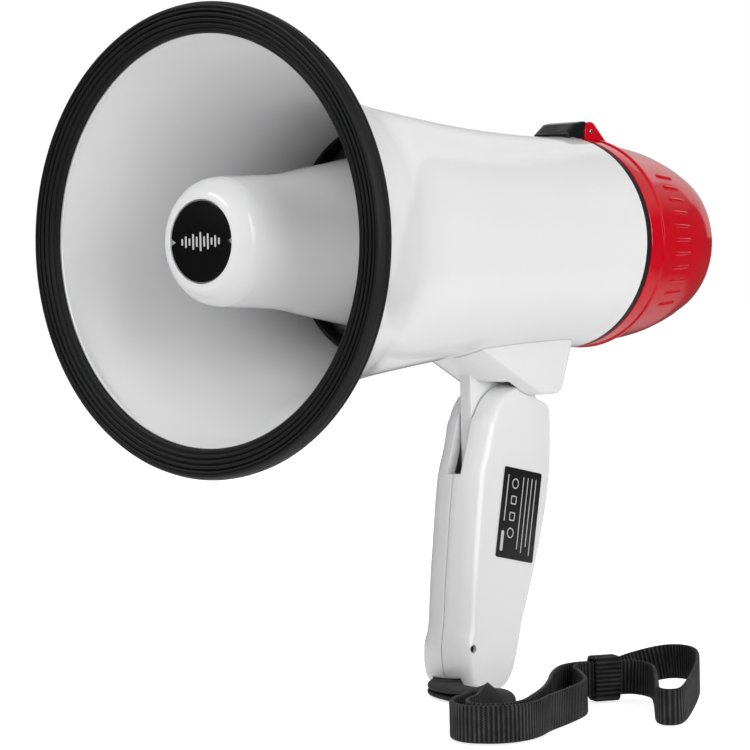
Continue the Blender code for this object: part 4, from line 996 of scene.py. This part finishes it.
# ---- floor, lights and surroundings
def make_floor():
    """Pale floor, darker in reflections with distance."""
    bm = bmesh.new()
    bmesh.ops.create_circle(bm, cap_ends=True, segments=96, radius=30.0)
    floor = as_object("floor", bm)
    mat, tree, shader, where = start("floor_paper")
    cloud = noise(tree, where, 3.0, 4.0)
    paper = ramp(tree, cloud, [(0.4, (0.90, 0.90, 0.90)), (0.6, (0.915, 0.915, 0.915))])
    path = node(tree, "LightPath")
    reach = node(tree, "VectorMath", {0: where}, operation="LENGTH").outputs["Value"]
    near = span(tree, reach, 0.28, 0.62, 1.0, 0.10)
    keep = calc(tree, "MULTIPLY_ADD", path.outputs["Is Glossy Ray"], calc(tree, "SUBTRACT", near, 1.0), 1.0)
    fade = node(tree, "VectorMath", {0: paper, "Scale": keep}, operation="SCALE")
    lift = calc(tree, "MULTIPLY_ADD", path.outputs["Is Camera Ray"], 0.55, 0.20)
    feed(tree, shader, {"Base Color": fade.outputs[0], "Roughness": 0.9, "Specular IOR Level": 0.1,
                        "Emission Color": (1.0, 1.0, 1.0, 1.0),
                        "Emission Strength": calc(tree, "MULTIPLY", lift, keep)})
    floor.data.materials.append(mat)


def make_world():
    """White to the camera, a soft gradient as light, and dim with one brighter band in reflections."""
    world = bpy.data.worlds.new("studio")
    bpy.context.scene.world = world
    world.use_nodes = True
    tree = world.node_tree
    tree.nodes.clear()
    where = node(tree, "TexCoord").outputs["Generated"]
    part = node(tree, "SeparateXYZ", {"Vector": where})
    side = calc(tree, "MULTIPLY_ADD", part.outputs[0], 0.55, calc(tree, "MULTIPLY_ADD", part.outputs[1], 0.45,
                calc(tree, "MULTIPLY_ADD", part.outputs[2], 0.12, 0.5)))
    glow = ramp(tree, side, [(0.05, (0.22, 0.22, 0.225)), (0.45, (0.54, 0.54, 0.55)),
                             (0.95, (1.0, 1.0, 1.0))])
    lit = node(tree, "Background", {"Color": glow, "Strength": 0.46})
    panels = ramp(tree, calc(tree, "MULTIPLY_ADD", part.outputs[2], 0.5, 0.5),
                  [(0.50, (0.06, 0.06, 0.06)), (0.62, (0.08, 0.08, 0.08)), (0.70, (0.50, 0.50, 0.50)),
                   (0.86, (0.50, 0.50, 0.50)), (0.93, (0.12, 0.12, 0.12))])
    dim = node(tree, "Background", {"Color": panels})
    seen = node(tree, "Background", {"Color": (1.0, 1.0, 1.0, 1.0)})
    path = node(tree, "LightPath")
    glossy, direct = path.outputs["Is Glossy Ray"], path.outputs["Is Camera Ray"]
    mix = node(tree, "MixShader", {0: glossy, 1: lit.outputs[0], 2: dim.outputs[0]})
    mix = node(tree, "MixShader", {0: direct, 1: mix.outputs[0], 2: seen.outputs[0]})
    node(tree, "OutputWorld", {"Surface": mix.outputs[0]})


# softboxes: place, width and height in metres, power in watts
LAMPS = {"side": ((1.95, -0.20, 0.38), 0.9, 1.2, 15.0), "tall": ((1.74, -0.78, 0.85), 0.30, 1.5, 6.4),
         "front": ((-0.66, -1.54, 1.46), 1.1, 0.9, 21.0), "key": ((1.3, -0.1, 1.3), 1.0, 1.0, 1.5),
         "strip_left": ((-0.55, -1.4, 0.55), 0.18, 1.1, 0.6), "rear": ((-0.6, 1.5, 0.7), 1.2, 1.0, 2.0)}
AIM = Vector((0.0, 0.0, 0.14))


def make_lights():
    for name, (at, width, height, power) in LAMPS.items():
        data = bpy.data.lights.new(name, "AREA")
        data.shape = "RECTANGLE"
        data.size, data.size_y, data.energy = width, height, power
        ob = link(bpy.data.objects.new(name, data))
        ob.location = at
        ob.rotation_mode = "QUATERNION"
        ob.rotation_quaternion = (AIM - Vector(at)).to_track_quat("-Z", "Y")


def finish_nodes():
    """Finish the CAD nodes shown as they are, by slot; the screw in the nose is dark."""
    for row in frame["record"]["subparts"]:
        kept = frame["nodes"][row["node"]]
        look = "dark_steel" if row["node"] == "bullet_screw" else row["material_slot"]
        if not kept.hide_render:
            kept.data.materials.clear()
            kept.data.materials.append(MATS[look])


for build in (make_horn, make_rim, make_bullet, make_badge, make_seals, make_cap, make_grips, make_ears,
              make_rivet, make_latch, make_panel, make_dial, make_grille, make_knob, make_talk_button,
              make_mode_switch, make_bracket):
    build()
make_handle_half(1)
make_handle_half(-1)
for build in (make_strap_bar, make_handle_screws, make_label, make_strap, finish_nodes, make_floor,
              make_world, make_lights):
    build()
bpy.context.scene.view_settings.view_transform = "Standard"
bpy.context.view_layer.update()
